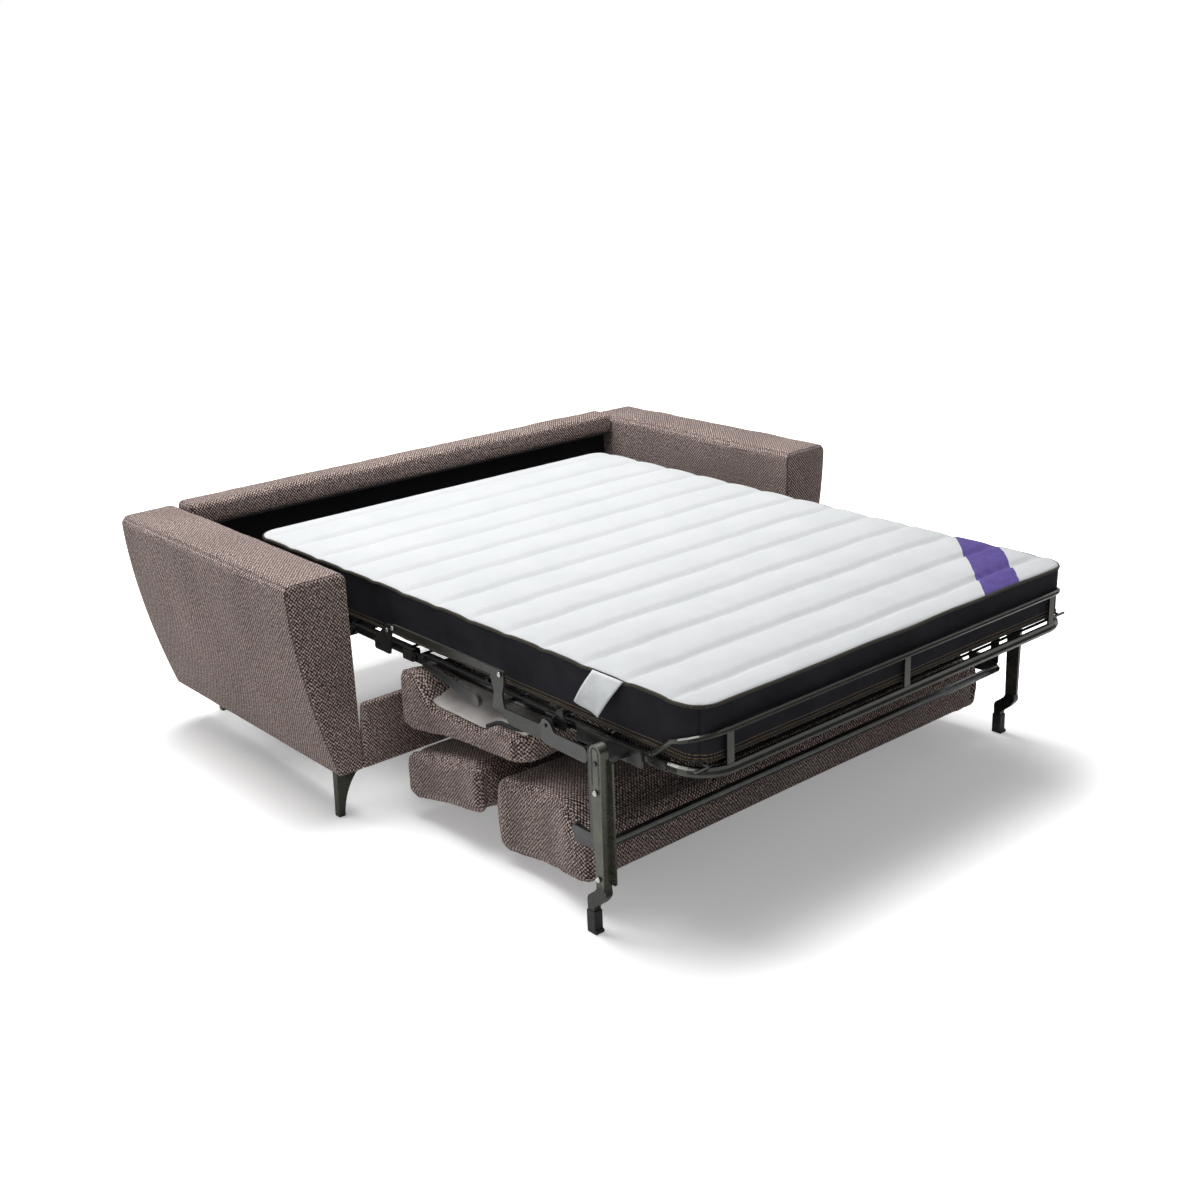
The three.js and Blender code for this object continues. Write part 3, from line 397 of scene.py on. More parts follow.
def chenille_material():
    """Coarse woven chenille: a regular lattice of pale lozenges between dark gaps."""
    n = Nodes("chenille_weave", roughness=0.95, sheen=0.32, specular=0.1)
    settle(n.shader, Sheen_Roughness=0.45, Sheen_Tint=(1.0, 0.88, 0.84, 1))
    flat = n.flat_coords()
    wobble = n.add("TexNoise")
    settle(wobble, Scale=80, Detail=1)
    n.link(flat, wobble.inputs["Vector"])
    shift = n.add("VectorMath", operation="MULTIPLY_ADD")
    n.link(wobble.outputs["Color"], shift.inputs[0])
    shift.inputs[1].default_value = (0.0046, 0.0034, 0)
    n.link(flat, shift.inputs[2])
    spot = n.separate(shift.outputs[0])
    along = n.math("COSINE", n.times(spot[0], FULL_TURN / WEAVE_ACROSS))
    up = n.math("COSINE", n.times(spot[1], FULL_TURN / WEAVE_UP))
    lattice = n.math("MULTIPLY_ADD", n.times(along, up), 0.5, 0.5)
    fibre = n.noise(flat, 900, 2.0)
    loose = n.noise(flat, 150, 1.0)
    mixed = n.plus(lattice, n.times(n.minus(fibre, 0.5), 0.30))
    mixed = n.plus(mixed, n.times(n.minus(loose, 0.5), 1.2))
    tuft = n.ramp(
        mixed,
        (0.38, (0.030, 0.020, 0.017)),
        (0.50, (0.098, 0.070, 0.063)),
        (0.64, (0.345, 0.266, 0.243)),
        (1.0, (0.740, 0.600, 0.560)),
    )
    patch = n.noise(n.coords(), 4.5, 3.0)
    tone = n.ramp(patch, (0.3, (0.86, 0.85, 0.85)), (0.7, (1.12, 1.11, 1.10)))
    woven = n.mix(1.0, tuft, tone, "MULTIPLY")
    # Painted shade: the seam mark darkens the weave along each sewn seam, as the shade in its groove
    seam = n.add("Attribute", attribute_name="seam").outputs["Fac"]
    n.color(n.mix(n.times(seam, 0.82), woven, (0.020, 0.014, 0.013)))
    n.bump(n.plus(lattice, n.times(fibre, 0.3)), 0.0022, 0.9)
    return n.material


def plain_cloth(name, color, scale, depth, roughness=0.9, sheen=0.1):
    """A finely woven cloth: crossed threads, slight mottling."""
    n = Nodes(name, roughness=roughness, sheen=sheen, specular=0.2)
    xyz = n.separate(n.coords())
    warp = n.math("SINE", n.times(n.plus(xyz[0], xyz[2]), scale))
    weft = n.math("SINE", n.times(n.plus(xyz[1], xyz[2]), scale))
    weave = n.times(warp, weft)
    mottle = n.noise(n.coords(), 14, 4.0)
    dark = tuple(c * 0.82 for c in color)
    light = tuple(min(1, c * 1.14) for c in color)
    n.color(n.ramp(mottle, (0.3, dark), (0.7, light)))
    n.bump(weave, depth, 0.7)
    return n.material


# The band's edges as x minus the coordinate along the bed, in metres, and how sharp they are
BAND_NEAR = (2455 - CENTRE) * MM
BAND_FAR = (2608 - CENTRE) * MM
BAND_SHARP = 900.0


def ticking_material():
    """White knitted mattress cover with a fine stitch, and a plain violet band sewn across one corner."""
    n = Nodes("white_ticking", roughness=0.85, sheen=0.1, specular=0.15)
    where = n.coords("rest")
    xyz = n.separate(where)
    knit = n.times(n.ribs(xyz[0], KNIT_ACROSS), n.ribs(xyz[1], KNIT_UP))
    spots = n.add("TexVoronoi", feature="F1")
    n.link(where, spots.inputs["Vector"])
    settle(spots, Scale=75)
    soft = n.noise(where, 9, 3.0)
    tone = n.ramp(soft, (0.25, (0.530, 0.545, 0.556)), (0.75, (0.572, 0.584, 0.592)))
    # Painted shade: the sewn mark darkens the ticking along each quilted line, as the shade in its groove
    sewn = n.add("Attribute", attribute_name="sewn").outputs["Fac"]
    tone = n.mix(sewn, tone, (0.425, 0.434, 0.436))
    across = n.minus(xyz[0], xyz[1])
    across = n.plus(across, n.times(n.noise(where, 26, 1.0), 0.009))
    band = n.times(
        n.times(n.minus(across, BAND_NEAR), BAND_SHARP, clamp=True),
        n.times(n.minus(BAND_FAR, across), BAND_SHARP, clamp=True),
    )
    violet = n.ramp(n.noise(where, 40, 2.0), (0.3, (0.070, 0.044, 0.200)), (0.7, (0.098, 0.064, 0.262)))
    n.color(n.mix(band, tone, violet))
    relief = n.plus(knit, n.times(spots.outputs["Distance"], 1.3))
    n.bump(n.plus(relief, n.times(band, 2.5)), 0.0006, 0.5)
    return n.material


# Heights of the two stitched rows above the mattress's lower edge, and half a thread, in metres
STITCH_ROWS = (0.012, 0.0205)
STITCH_HALF = 0.0007


def border_material():
    """Near-black mattress border with two rows of gold stitching near its lower edge."""
    n = Nodes("dark_border", roughness=0.8, sheen=0.0, specular=0.12)
    where = n.coords("rest")
    xyz = n.separate(where)
    run = n.plus(xyz[0], xyz[1])
    weave = n.times(n.ribs(run, BORDER_RIB), n.ribs(xyz[2], BORDER_RIB))
    mottle = n.noise(where, 11, 3.0)
    cloth = n.ramp(mottle, (0.3, (0.0165, 0.0160, 0.0205)), (0.7, (0.0265, 0.0255, 0.0320)))
    rows = None
    for height in STITCH_ROWS:
        distance = n.math("ABSOLUTE", n.minus(xyz[2], M_LOW * MM + height))
        row = n.math("LESS_THAN", distance, STITCH_HALF)
        rows = row if rows is None else n.plus(rows, row, clamp=True)
    dash = n.math("LESS_THAN", n.math("FRACT", n.times(run, 1 / BORDER_STITCH)), 0.68)
    stitch = n.times(rows, dash)
    n.color(n.mix(stitch, cloth, (0.33, 0.235, 0.11)))
    n.bump(n.plus(weave, n.times(stitch, 3.0)), 0.0004, 0.6)
    return n.material


def piping_material():
    """Dark olive-brown piping with a thin line of gold stitching."""
    n = Nodes("olive_piping", roughness=0.7, sheen=0.1, specular=0.3)
    where = n.coords("rest")
    xyz = n.separate(where)
    run = n.plus(xyz[0], xyz[1])
    dash = n.math("LESS_THAN", n.math("FRACT", n.times(run, 1 / PIPING_STITCH)), 0.25)
    n.color(n.mix(n.times(dash, 0.3), (0.017, 0.015, 0.010), (0.16, 0.12, 0.06)))
    n.bump(n.ribs(run, PIPING_RIB), 0.0004, 0.6)
    return n.material


BARE_STEEL = (0.15, 0.15, 0.135)
DARK_STEEL = (0.05, 0.05, 0.03)
SHARP_EDGE = 0.53


def enamel(name, color, roughness, metallic, wear=BARE_STEEL, coat=0.25, groove=None, shank=None):
    """Baked enamel on steel: slight mottling, fine orange peel and worn bright edges."""
    n = Nodes(name, roughness=roughness, metallic=metallic, specular=0.6, coat=coat)
    settle(n.shader, Coat_Roughness=0.1)
    where = n.coords()
    mottle = n.noise(where, 22, 4.0)
    dark = tuple(c * 0.8 for c in color)
    light = tuple(c * 1.25 for c in color)
    base = n.ramp(mottle, (0.3, dark), (0.7, light))
    edge = n.add("NewGeometry").outputs["Pointiness"]
    worn = n.times(n.minus(edge, SHARP_EDGE, clamp=True), 6.0, clamp=True)
    worn = n.times(worn, n.noise(where, 60, 3.0))
    painted = n.mix(worn, base, wear)
    n.roughness(n.noise(where, 45, 3.0), roughness - 0.06, roughness + 0.12)
    n.bump(n.noise(where, 420, 2.0), 0.0003, 0.2)
    if groove:
        # Painted shade: the pressed groove's enamel is painted nearly black, as the shade in its recess,
        # besides its bump
        pressed = groove(n, where)
        painted = n.mix(n.times(pressed, 0.95), painted, (0.004, 0.004, 0.004))
        n.bump(n.minus(1.0, pressed), 0.0012, 0.8)
    if shank:
        # The shank's enamel is painted nearly black towards the bottom, below SHANK_TOP
        painted = n.mix(n.times(shank(n, where), 0.85), painted, (0.008, 0.008, 0.007))
    n.color(painted)
    return n.material


# The bed leg's middle line, the centre of its round head, and its groove and shank, in metres
LEG_LINE = (CENTRE - 1909) * MM
LEG_HEAD = 475 * MM
GROOVE_REACH = 11.5 * MM
GROOVE_LOW = 360 * MM
SHANK_TOP = 148 * MM


def leg_groove(n, where):
    """The groove pressed round the head of a bed leg's outer face, from 0 to 1."""
    xyz = n.separate(where)
    across = n.minus(xyz[1], LEG_LINE)
    rise = n.math("MAXIMUM", n.minus(xyz[2], LEG_HEAD), 0.0)
    square = n.plus(n.times(across, across), n.times(rise, rise))
    off = n.math("ABSOLUTE", n.minus(n.math("SQRT", square), GROOVE_REACH))
    ring = n.minus(1.4, n.times(off, 420.0), clamp=True)
    upper = n.times(n.minus(xyz[2], GROOVE_LOW), 25.0, clamp=True)
    facing = n.math("ABSOLUTE", n.separate(n.add("TexCoord").outputs["Normal"])[0])
    return n.times(n.times(ring, upper), n.math("GREATER_THAN", facing, 0.7))


def leg_shank(n, where):
    """The bent shank under a bed leg's lower rivet, whose enamel is painted nearly black below SHANK_TOP,
    from 0 to 1.
    """
    return n.times(n.minus(SHANK_TOP, n.separate(where)[2]), 60.0, clamp=True)


def bright_steel():
    """Zinc-plated rivet steel with fine scratches."""
    n = Nodes("zinc_rivet", roughness=0.28, metallic=1.0)
    where = n.coords()
    n.color(n.ramp(n.noise(where, 140, 4.0), (0.3, (0.42, 0.43, 0.42)), (0.7, (0.66, 0.67, 0.66))))
    n.roughness(n.noise(where, 300, 2.0), 0.2, 0.42)
    return n.material


def rubber_material():
    """Moulded black plastic with a fine grain."""
    n = Nodes("moulded_black", roughness=0.6, specular=0.4)
    where = n.coords()
    n.color(n.ramp(n.noise(where, 30, 3.0), (0.3, (0.012, 0.012, 0.013)), (0.7, (0.026, 0.026, 0.028))))
    n.bump(n.noise(where, 1500, 2.0), 0.0003, 0.4)
    return n.material


mats = {
    "chenille": chenille_material(),
    "liner": plain_cloth("black_liner", (0.012, 0.012, 0.015), 2600, 0.0003, sheen=0.05),
    "lining": plain_cloth("grey_lining", (0.560, 0.525, 0.508), 2200, 0.0003, roughness=0.75),
    "ticking": ticking_material(),
    "border": border_material(),
    "piping": piping_material(),
    "graphite": enamel("graphite_enamel", (0.017, 0.018, 0.019), 0.18, 0.6, coat=0.45),
    "guard_steel": enamel("guard_enamel", (0.034, 0.035, 0.027), 0.2, 0.7, coat=0.4),
    "plate_steel": enamel("plate_enamel", (0.024, 0.025, 0.019), 0.3, 0.4, coat=0.15),
    "leg_steel": enamel("leg_enamel", (0.084, 0.085, 0.066), 0.25, 0.75, groove=leg_groove, shank=leg_shank),
    "black_steel": enamel("black_enamel", (0.009, 0.010, 0.011), 0.3, 0.2, coat=0.15),
    "olive_steel": enamel("olive_enamel", (0.020, 0.021, 0.010), 0.24, 0.5, wear=DARK_STEEL),
    "rivet": bright_steel(),
    "rubber": rubber_material(),
    "label": plain_cloth("blank_label", (0.62, 0.64, 0.65), 2600, 0.0002, roughness=0.5, sheen=0.0),
}


def paint(obj, *names):
    obj.data.materials.clear()
    for name in names:
        obj.data.materials.append(mats[name])


# Steel nodes given lighter or darker copies of their slot's enamel, set to how bright each part looks:
# painted light and shade over the enamel's colour
SHADES = {
    "bed_leg_left": "leg_steel",
    "bed_leg_right": "leg_steel",
    "guard_rail": "guard_steel",
    "foot_end_tube": "guard_steel",
    "link_bar_left": "plate_steel",
    "link_bar_right": "plate_steel",
}
for node_name, node in NODES.items():
    slot_name = next(s["material_slot"] for s in frame["record"]["subparts"] if s["node"] == node_name)
    node.data.materials.clear()
    node.data.materials.append(mats[SHADES.get(node_name, slot_name)])


# Camera at the photograph's viewing angle
YAW, PITCH, ROLL = (math.radians(a) for a in (40.396, 19.242, -2.0215))
EYE = (-2.76979, -4.24742 + CENTRE * MM, 1.89949)
LENS, SENSOR = 45.15, 36
camera_data = bpy.data.cameras.new("camera")
camera_data.lens = LENS
camera_data.sensor_width = SENSOR
camera_data.sensor_fit = "HORIZONTAL"
camera_data.clip_end = 60
camera = bpy.data.objects.new("camera", camera_data)
scene.collection.objects.link(camera)
look = Vector((math.sin(YAW) * math.cos(PITCH), math.cos(YAW) * math.cos(PITCH), -math.sin(PITCH)))
right = Vector((math.cos(YAW), -math.sin(YAW), 0))
above = right.cross(look)
turned_right = right * math.cos(ROLL) + above * math.sin(ROLL)
turned_up = above * math.cos(ROLL) - right * math.sin(ROLL)
camera.matrix_world = Matrix((
    (turned_right.x, turned_up.x, -look.x, EYE[0]),
    (turned_right.y, turned_up.y, -look.y, EYE[1]),
    (turned_right.z, turned_up.z, -look.z, EYE[2]),
    (0, 0, 0, 1),
))
bpy.context.scene.camera = camera

# Studio: white to the camera, dim to the part, and darker towards the floor in reflections
world = bpy.data.worlds.new("studio")
scene.world = world
world.use_nodes = True
world_nodes = world.node_tree.nodes
background = world_nodes["Background"]
settle(background, Color=WHITE, Strength=0.19)
seen, mirrored, sky, rise, shade, path, with_sky, mixer = (
    world_nodes.new("ShaderNode" + kind) for kind in (
        "Background", "Background", "TexCoord", "SeparateXYZ", "ValToRGB",
        "LightPath", "MixShader", "MixShader",
    )
)
settle(seen, Color=WHITE)
for element, level, color in zip(shade.color_ramp.elements, (0.02, 0.75), ((0.10, 0.10, 0.10, 1), WHITE)):
    element.position = level
    element.color = color
for out, into in (
    (sky.outputs["Generated"], rise.inputs[0]),
    (rise.outputs["Z"], shade.inputs["Fac"]),
    (shade.outputs["Color"], mirrored.inputs["Color"]),
    (path.outputs["Is Glossy Ray"], with_sky.inputs[0]),
    (background.outputs[0], with_sky.inputs[1]),
    (mirrored.outputs[0], with_sky.inputs[2]),
    (path.outputs["Is Camera Ray"], mixer.inputs[0]),
    (with_sky.outputs[0], mixer.inputs[1]),
    (seen.outputs[0], mixer.inputs[2]),
    (mixer.outputs[0], world_nodes["World Output"].inputs["Surface"]),
):
    world.node_tree.links.new(out, into)


def area_light(name, spot, target, size, power):
    data = bpy.data.lights.new(name, "AREA")
    data.shape = "RECTANGLE"
    data.size, data.size_y = size
    data.energy = power
    lamp = bpy.data.objects.new(name, data)
    scene.collection.objects.link(lamp)
    lamp.location = spot
    lamp.rotation_euler = (Vector(target) - Vector(spot)).to_track_quat("-Z", "Y").to_euler()


area_light("overhead", (-0.3, 1.0, 4.2), (-0.05, 0.3, 0.3), (3.6, 3.6), 275)
area_light("right_window", (4.2, -0.6, 2.6), (0, -0.2, 0.4), (3.0, 2.5), 9)
area_light("left_fill", (-4.8, -0.6, 1.5), (-0.4, -0.3, 0.3), (3.0, 2.2), 20)

# Floor: its own white to the camera, over the lit surface, dimmed under the sofa and the bed and in a band
# round them: a painted shadow edge that sets how far their shadows reach
SOFA_MIDDLE, SOFA_REACH, SOFA_FADE = (0.0, 0.58), (0.96, 0.46), 0.42
BED_MIDDLE, BED_REACH, BED_FADE = (0.0, -0.30), (0.68, 0.66), 0.62
FLOOR_HALF = 14
# UNDER_GLOW is painted light: the camera's glow that lifts the shadow under the sofa and the bed
UNDER_GLOW = 0.28
ground = Nodes("pale_floor", roughness=0.9, specular=0.1)
floor_tone = ground.noise(ground.coords(), 0.6, 2.0)
ground.color(ground.ramp(floor_tone, (0.3, (0.93, 0.93, 0.93)), (0.7, (0.95, 0.95, 0.95))))
floor_place = ground.separate(ground.coords())


def beyond(middle, reach, fade):
    """The distance on the floor from a rectangle under the sofa or the bed, as a share of fade."""
    squares = []
    for spot, mid, half in zip(floor_place, middle, reach):
        off = ground.math("ABSOLUTE", ground.minus(spot, mid))
        out = ground.math("MAXIMUM", ground.minus(off, half), 0.0)
        squares.append(ground.times(out, out))
    return ground.times(ground.math("SQRT", ground.plus(*squares)), 1 / fade)


away = ground.math(
    "MINIMUM",
    beyond(SOFA_MIDDLE, SOFA_REACH, SOFA_FADE),
    beyond(BED_MIDDLE, BED_REACH, BED_FADE),
)
# Painted shadow: the glow rises from UNDER_GLOW near the sofa and the bed to full white over each fade, which
# shapes the shadows' edge
whiten = ground.add("MapRange", interpolation_type="SMOOTHSTEP")
settle(whiten, To_Min=UNDER_GLOW)
glow, black, ray, glowing, both = (
    ground.add(kind) for kind in ("Emission", "Emission", "LightPath", "MixShader", "AddShader")
)
settle(black, Strength=0.0)
for out, into in (
    (away, whiten.inputs["Value"]),
    (whiten.outputs[0], glow.inputs["Strength"]),
    (ray.outputs["Is Camera Ray"], glowing.inputs[0]),
    (black.outputs[0], glowing.inputs[1]),
    (glow.outputs[0], glowing.inputs[2]),
    (ground.shader.outputs[0], both.inputs[0]),
    (glowing.outputs[0], both.inputs[1]),
    (both.outputs[0], ground.tree.nodes["Material Output"].inputs["Surface"]),
):
    ground.link(out, into)
floor_corners = [(x * FLOOR_HALF, y * FLOOR_HALF, 0) for x, y in ((-1, -1), (1, -1), (1, 1), (-1, 1))]
floor = new_object("studio_floor", floor_corners, [(0, 1, 2, 3)])
floor.location.z = -0.5 * MM
floor.data.materials.append(ground.material)

scene.view_settings.view_transform = "Standard"


def mark(obj, name, amounts):
    """Keeps a number at each point for a material to read."""
    attribute = obj.data.attributes.new(name, "FLOAT", "POINT")
    attribute.data.foreach_set("value", amounts.astype(np.float32))


def upholster(obj, body):
    """Covers obj in chenille and lets it move with a body."""
    paint(obj, "chenille")
    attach(obj, body)


# Cloth
VOXEL = 0.006
CLOTH_FRAMES = 20
CLOTH = {
    "quality": 3,
    "mass": 0.3,
    "tension_stiffness": 12,
    "compression_stiffness": 8,
    "shear_stiffness": 6,
    "bending_stiffness": 0.6,
    "use_pressure": True,
    "uniform_pressure_force": 4.0,
    "shrink_min": -0.02,
    "vertex_group_mass": "pins",
}


def puff(obj, cap, pins):
    """Remeshes obj, lets cloth swell under pressure with its pinned points held, and keeps the result."""
    modifier = obj.modifiers.new("remesh", "REMESH")
    modifier.mode = "VOXEL"
    modifier.voxel_size = VOXEL
    bake(obj)
    start = read(obj)
    group = obj.vertex_groups.new(name="pins")
    weights = pins(start)
    for i in np.nonzero(weights > 0.01)[0]:
        group.add([int(i)], float(weights[i]), "REPLACE")
    cloth = obj.modifiers.new("cloth", "CLOTH")
    for key, value in CLOTH.items():
        setattr(cloth.settings, key, value)
    cloth.settings.effector_weights.gravity = 0
    cloth.collision_settings.use_collision = False
    cloth.point_cache.frame_start = 1
    cloth.point_cache.frame_end = CLOTH_FRAMES
    for number in range(1, CLOTH_FRAMES + 1):
        scene.frame_set(number)
    bake(obj)
    scene.frame_set(1)
    moved = read(obj) - start
    length = np.linalg.norm(moved, axis=1)
    scale = np.minimum(1, cap / np.maximum(length, TINY))
    write(obj, start + moved * scale[:, None])
    obj.vertex_groups.clear()
    modifier = obj.modifiers.new("subdivide", "SUBSURF")
    modifier.levels = 1
    modifier.render_levels = 1
    bake(obj)


def bake(obj):
    """Applies every modifier of obj."""
    bpy.context.view_layer.update()
    graph = bpy.context.evaluated_depsgraph_get()
    mesh = bpy.data.meshes.new_from_object(obj.evaluated_get(graph))
    old = obj.data
    obj.modifiers.clear()
    obj.data = mesh
    bpy.data.meshes.remove(old)
    mesh.shade_smooth()


def sew(obj, distance, depth, width=2.2, shadow=1.0):
    """Draws the cloth in along a seam and marks it for the weave's shadow, with distances in mm."""
    hold = np.exp(-(distance / width) ** 2)
    write(obj, read(obj) - vectors(obj.data.vertices, "normal") * (hold * depth * MM)[:, None])
    mark(obj, "seam", hold * shadow)


# Arms, in mm
ARM_INNER, ARM_WIDTH, ARM_DEPTH = 851.3, 182.7, 976.0
ARM_LOW, ARM_TOP, ARM_TAPER = 130.0, 698.0, 110.0
ARM_ROUND, ARM_SHOULDER = 9.0, 25.0
ARM_BULGE, ARM_CROWN, ARM_END = 7.0, 6.0, 4.0
ARM_SEAM = 4.6


def make_arm(side, name):
    half = np.array([ARM_WIDTH / 2, ARM_DEPTH / 2, (ARM_TOP - ARM_LOW) / 2])
    obj = grid_box(
        name,
        lines(half[0], 9, 30, 3),
        refined(lines(half[1], 12, 60, 4), (6 - half[1], half[1] - 6)),
        lines(half[2], 10, 30, 3),
    )
    co = rounded(read(obj), half, ARM_ROUND)
    upper = co[:, 2] > 0
    co[upper] = round_corners(co[upper], half[0], half[2], ARM_SHOULDER, axes=(0, 2))
    u, v, w = (co / half).T
    bulge = ARM_BULGE * (1 - v ** 4) * (1 - w ** 4) * unit(u) ** 4
    top = ARM_CROWN * (1 - u ** 2) * (1 - v ** 6) * unit(w) ** 6
    end = ARM_END * (1 - u ** 4) * (1 - w ** 4) * unit(-v) ** 8
    wrinkle = 2.2 * noise3(co * [1.0, 0.9, 0.7], 190, 3) + 0.8 * noise3(co * [1.5, 1.0, 0.6], 70, 5)
    soft = (1 - v ** 8) * (np.clip(u, -0.2, 1) + 0.2) / 1.2
    co[:, 0] += bulge + wrinkle * soft * unit(u) ** 4
    co[:, 2] += top + 0.8 * wrinkle * unit(w) ** 8
    co[:, 1] -= end
    height = (co[:, 2] + half[2]) / (2 * half[2])
    inset = ARM_TAPER * unit(1 - height) ** 1.72
    outer = np.clip(0.5 + co[:, 0] / ARM_WIDTH, 0, 1.1)
    depth = ARM_DEPTH / 2 - co[:, 1]
    x = ARM_INNER + ARM_WIDTH / 2 + co[:, 0] - inset * outer
    z = (ARM_TOP + ARM_LOW) / 2 + co[:, 2]
    place_points(obj, side * x, depth, z)
    if side < 0:
        obj.data.flip_normals()
    obj.data.update()
    from_end = np.minimum(ARM_DEPTH - depth, depth)
    outer_gap = ARM_INNER + ARM_WIDTH - inset - x
    near_edge = np.minimum(np.minimum(ARM_TOP - z, z - ARM_LOW), np.minimum(x - ARM_INNER, outer_gap))
    sew(obj, np.where(near_edge < 12, np.abs(from_end - ARM_SEAM), 1e3), depth=2.6)
    obj.data.shade_smooth()
    upholster(obj, "sofa")
    return obj


for side, word in ((1, "right"), (-1, "left")):
    arm = make_arm(side, f"upholstered_arm_{word}")
    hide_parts(f"arm_{word}")

# Back panel and apron
BAR_HALF = 850.3


def make_bar(name, half, middle, radius, shaping, x_step=12):
    """A padded bar across the sofa, from half its depth and height and its middle's depth and height."""
    half = np.array([BAR_HALF, *half])
    obj = grid_box(
        name,
        lines(half[0], x_step, 24, 4),
        lines(half[1], 6, radius, radius / 5),
        lines(half[2], 7, radius, radius / 5),
    )
    co = rounded(read(obj), half, radius)
    co = shaping(co, co / half)
    place_points(obj, co[:, 0], middle[0] - co[:, 1], middle[1] + co[:, 2])
    upholster(obj, "sofa")
    return obj


def roll_shape(co, share):
    u, v, w = share.T
    ripple = 1.4 * noise3(co * [1.0, 0.3, 0.3], 240, 11) + 0.7 * noise3(co * [1.0, 0.4, 0.4], 90, 12)
    end = 1 - np.abs(u) ** 24
    co[:, 2] += (ripple * end + 1.5 * (1 - v ** 2)) * unit(w) - 1.5
    co[:, 1] -= (1.5 * ripple + 2.0 * (1 - w ** 2)) * unit(-v) ** 3 * end
    return co


roll = make_bar("back_roll", (48.3, 35.3), (48.6, 675.6), 17, roll_shape)


def panel_shape(co, share):
    u, v, w = share.T
    bulge = 4.0 * (1 - u ** 8) * (1 - w ** 2)
    ripple = 1.2 * noise3(co * [1.0, 0.2, 0.6], 260, 21)
    co[:, 1] += (bulge + ripple - 4) * unit(v) ** 3
    return co


back_panel = make_bar("back_panel_cloth", (22.0, 254.8), (22.4, 385.0), 9, panel_shape, x_step=20)
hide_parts("back_panel")
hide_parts("back_panel")


APRON_SEAM, APRON_LEAN = 78, 15


def apron_shape(co, share):
    u, v, w = share.T
    ripple = 1.0 * noise3(co * [1.0, 0.3, 0.5], 200, 31)
    bulge = 3.0 * (1 - w ** 2) * (1 - u ** 10)
    front = unit(-v) ** 3
    seam = np.exp(-((co[:, 2] - APRON_SEAM) / 3.0) ** 2)
    co[:, 1] += (1.6 * seam - (bulge + ripple - 3)) * front - APRON_LEAN * w
    return co


apron = make_bar("apron_cloth", (15.2, 99.8), (976.5, 230), 9, apron_shape, x_step=14)
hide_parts("front_apron")

# Mattress
CORNER = 62.0
FIRST_SEAM = M_START + 60
SEAM_STEP = 148.0
QUILT_SINK, QUILT_WIDTH, QUILT_SWELL = 9.5, 14, 2.6
EDGE_SOFT = 70
STITCH_SHADE = 0.34


def from_seam(depth):
    """How far each place lies from the nearest line sewn across the bed, in mm."""
    share = (depth - FIRST_SEAM) / SEAM_STEP
    return np.abs(share - np.round(share)) * SEAM_STEP


def channel_sink(x, depth):
    """How far the quilted top sinks along each sewn line, in mm, and how near each place is to a line."""
    zero = x * 0
    across = np.stack([x, zero, zero], 1)
    wander = 5.0 * noise3(across, 420, 41) + 2.0 * noise3(across, 110, 42)
    away = from_seam(depth + wander)
    pucker = 0.6 * noise3(np.stack([x * 3.0, depth, zero], 1), 110, 43) * np.exp(-(away / 32) ** 2)
    swell = QUILT_SWELL * (1 - np.cos(FULL_TURN * away / SEAM_STEP))
    return QUILT_SINK * np.exp(-(away / QUILT_WIDTH) ** 2) - swell + pucker, np.exp(-(away / 8) ** 2)


def build_mattress():
    half = np.array([M_HALF, (M_END - M_START) / 2, (M_TOP - M_LOW) / 2])
    steps = (11, 90, 9), (6, 90, 6), (9, 14, 3.5)
    obj = grid_box("mattress", *(lines(reach, *step) for reach, step in zip(half, steps)))
    co = rounded(read(obj), half, 13.0)
    u, v, w = (co / half).T
    depth = M_MIDDLE - co[:, 1]
    top = unit(w) ** 10
    edge = unit(np.minimum(half[0] - np.abs(co[:, 0]), half[1] - np.abs(co[:, 1])) / EDGE_SOFT)
    sink, line = channel_sink(co[:, 0], depth)
    swell = 6.0 * np.sin(edge * math.pi / 2)
    wave = 1.2 * noise3(co * [1.0, 1.0, 0], 330, 44)
    co[:, 2] += top * (swell - 6.5 - sink * (0.35 + 0.65 * edge) + wave * edge)
    border = (1 - np.abs(w) ** 4)
    wobble = 1.6 * noise3(co * [1, 1, 0.6], 300, 45) + 1.0 * noise3(co * [1, 1, 0.3], 120, 46)
    side = unit(np.abs(u)) ** 60
    front = unit(np.abs(v)) ** 120
    co[:, 0] -= np.sign(co[:, 0]) * side * border * (1.5 + wobble)
    co[:, 1] -= np.sign(co[:, 1]) * front * border * (1.5 + wobble)
    scallop = 3.6 * np.exp(-(from_seam(depth) / 16) ** 2)
    co[:, 0] -= np.sign(co[:, 0]) * side * unit(w) ** 3 * scallop
    co = round_corners(co, half[0], half[1], CORNER)
    place_points(obj, co[:, 0], M_MIDDLE - co[:, 1], (M_TOP + M_LOW) / 2 + co[:, 2])
    mark(obj, "sewn", STITCH_SHADE * line * top)
    upward = vectors(obj.data.polygons, "normal")[:, 2] > 0.5
    on_top = upward & (vectors(obj.data.polygons, "center")[:, 2] > (M_TOP - 30) * MM)
    paint(obj, "ticking", "border", "piping")
    obj.data.polygons.foreach_set("material_index", np.where(on_top, 0, 1).astype(np.int32))
    return obj


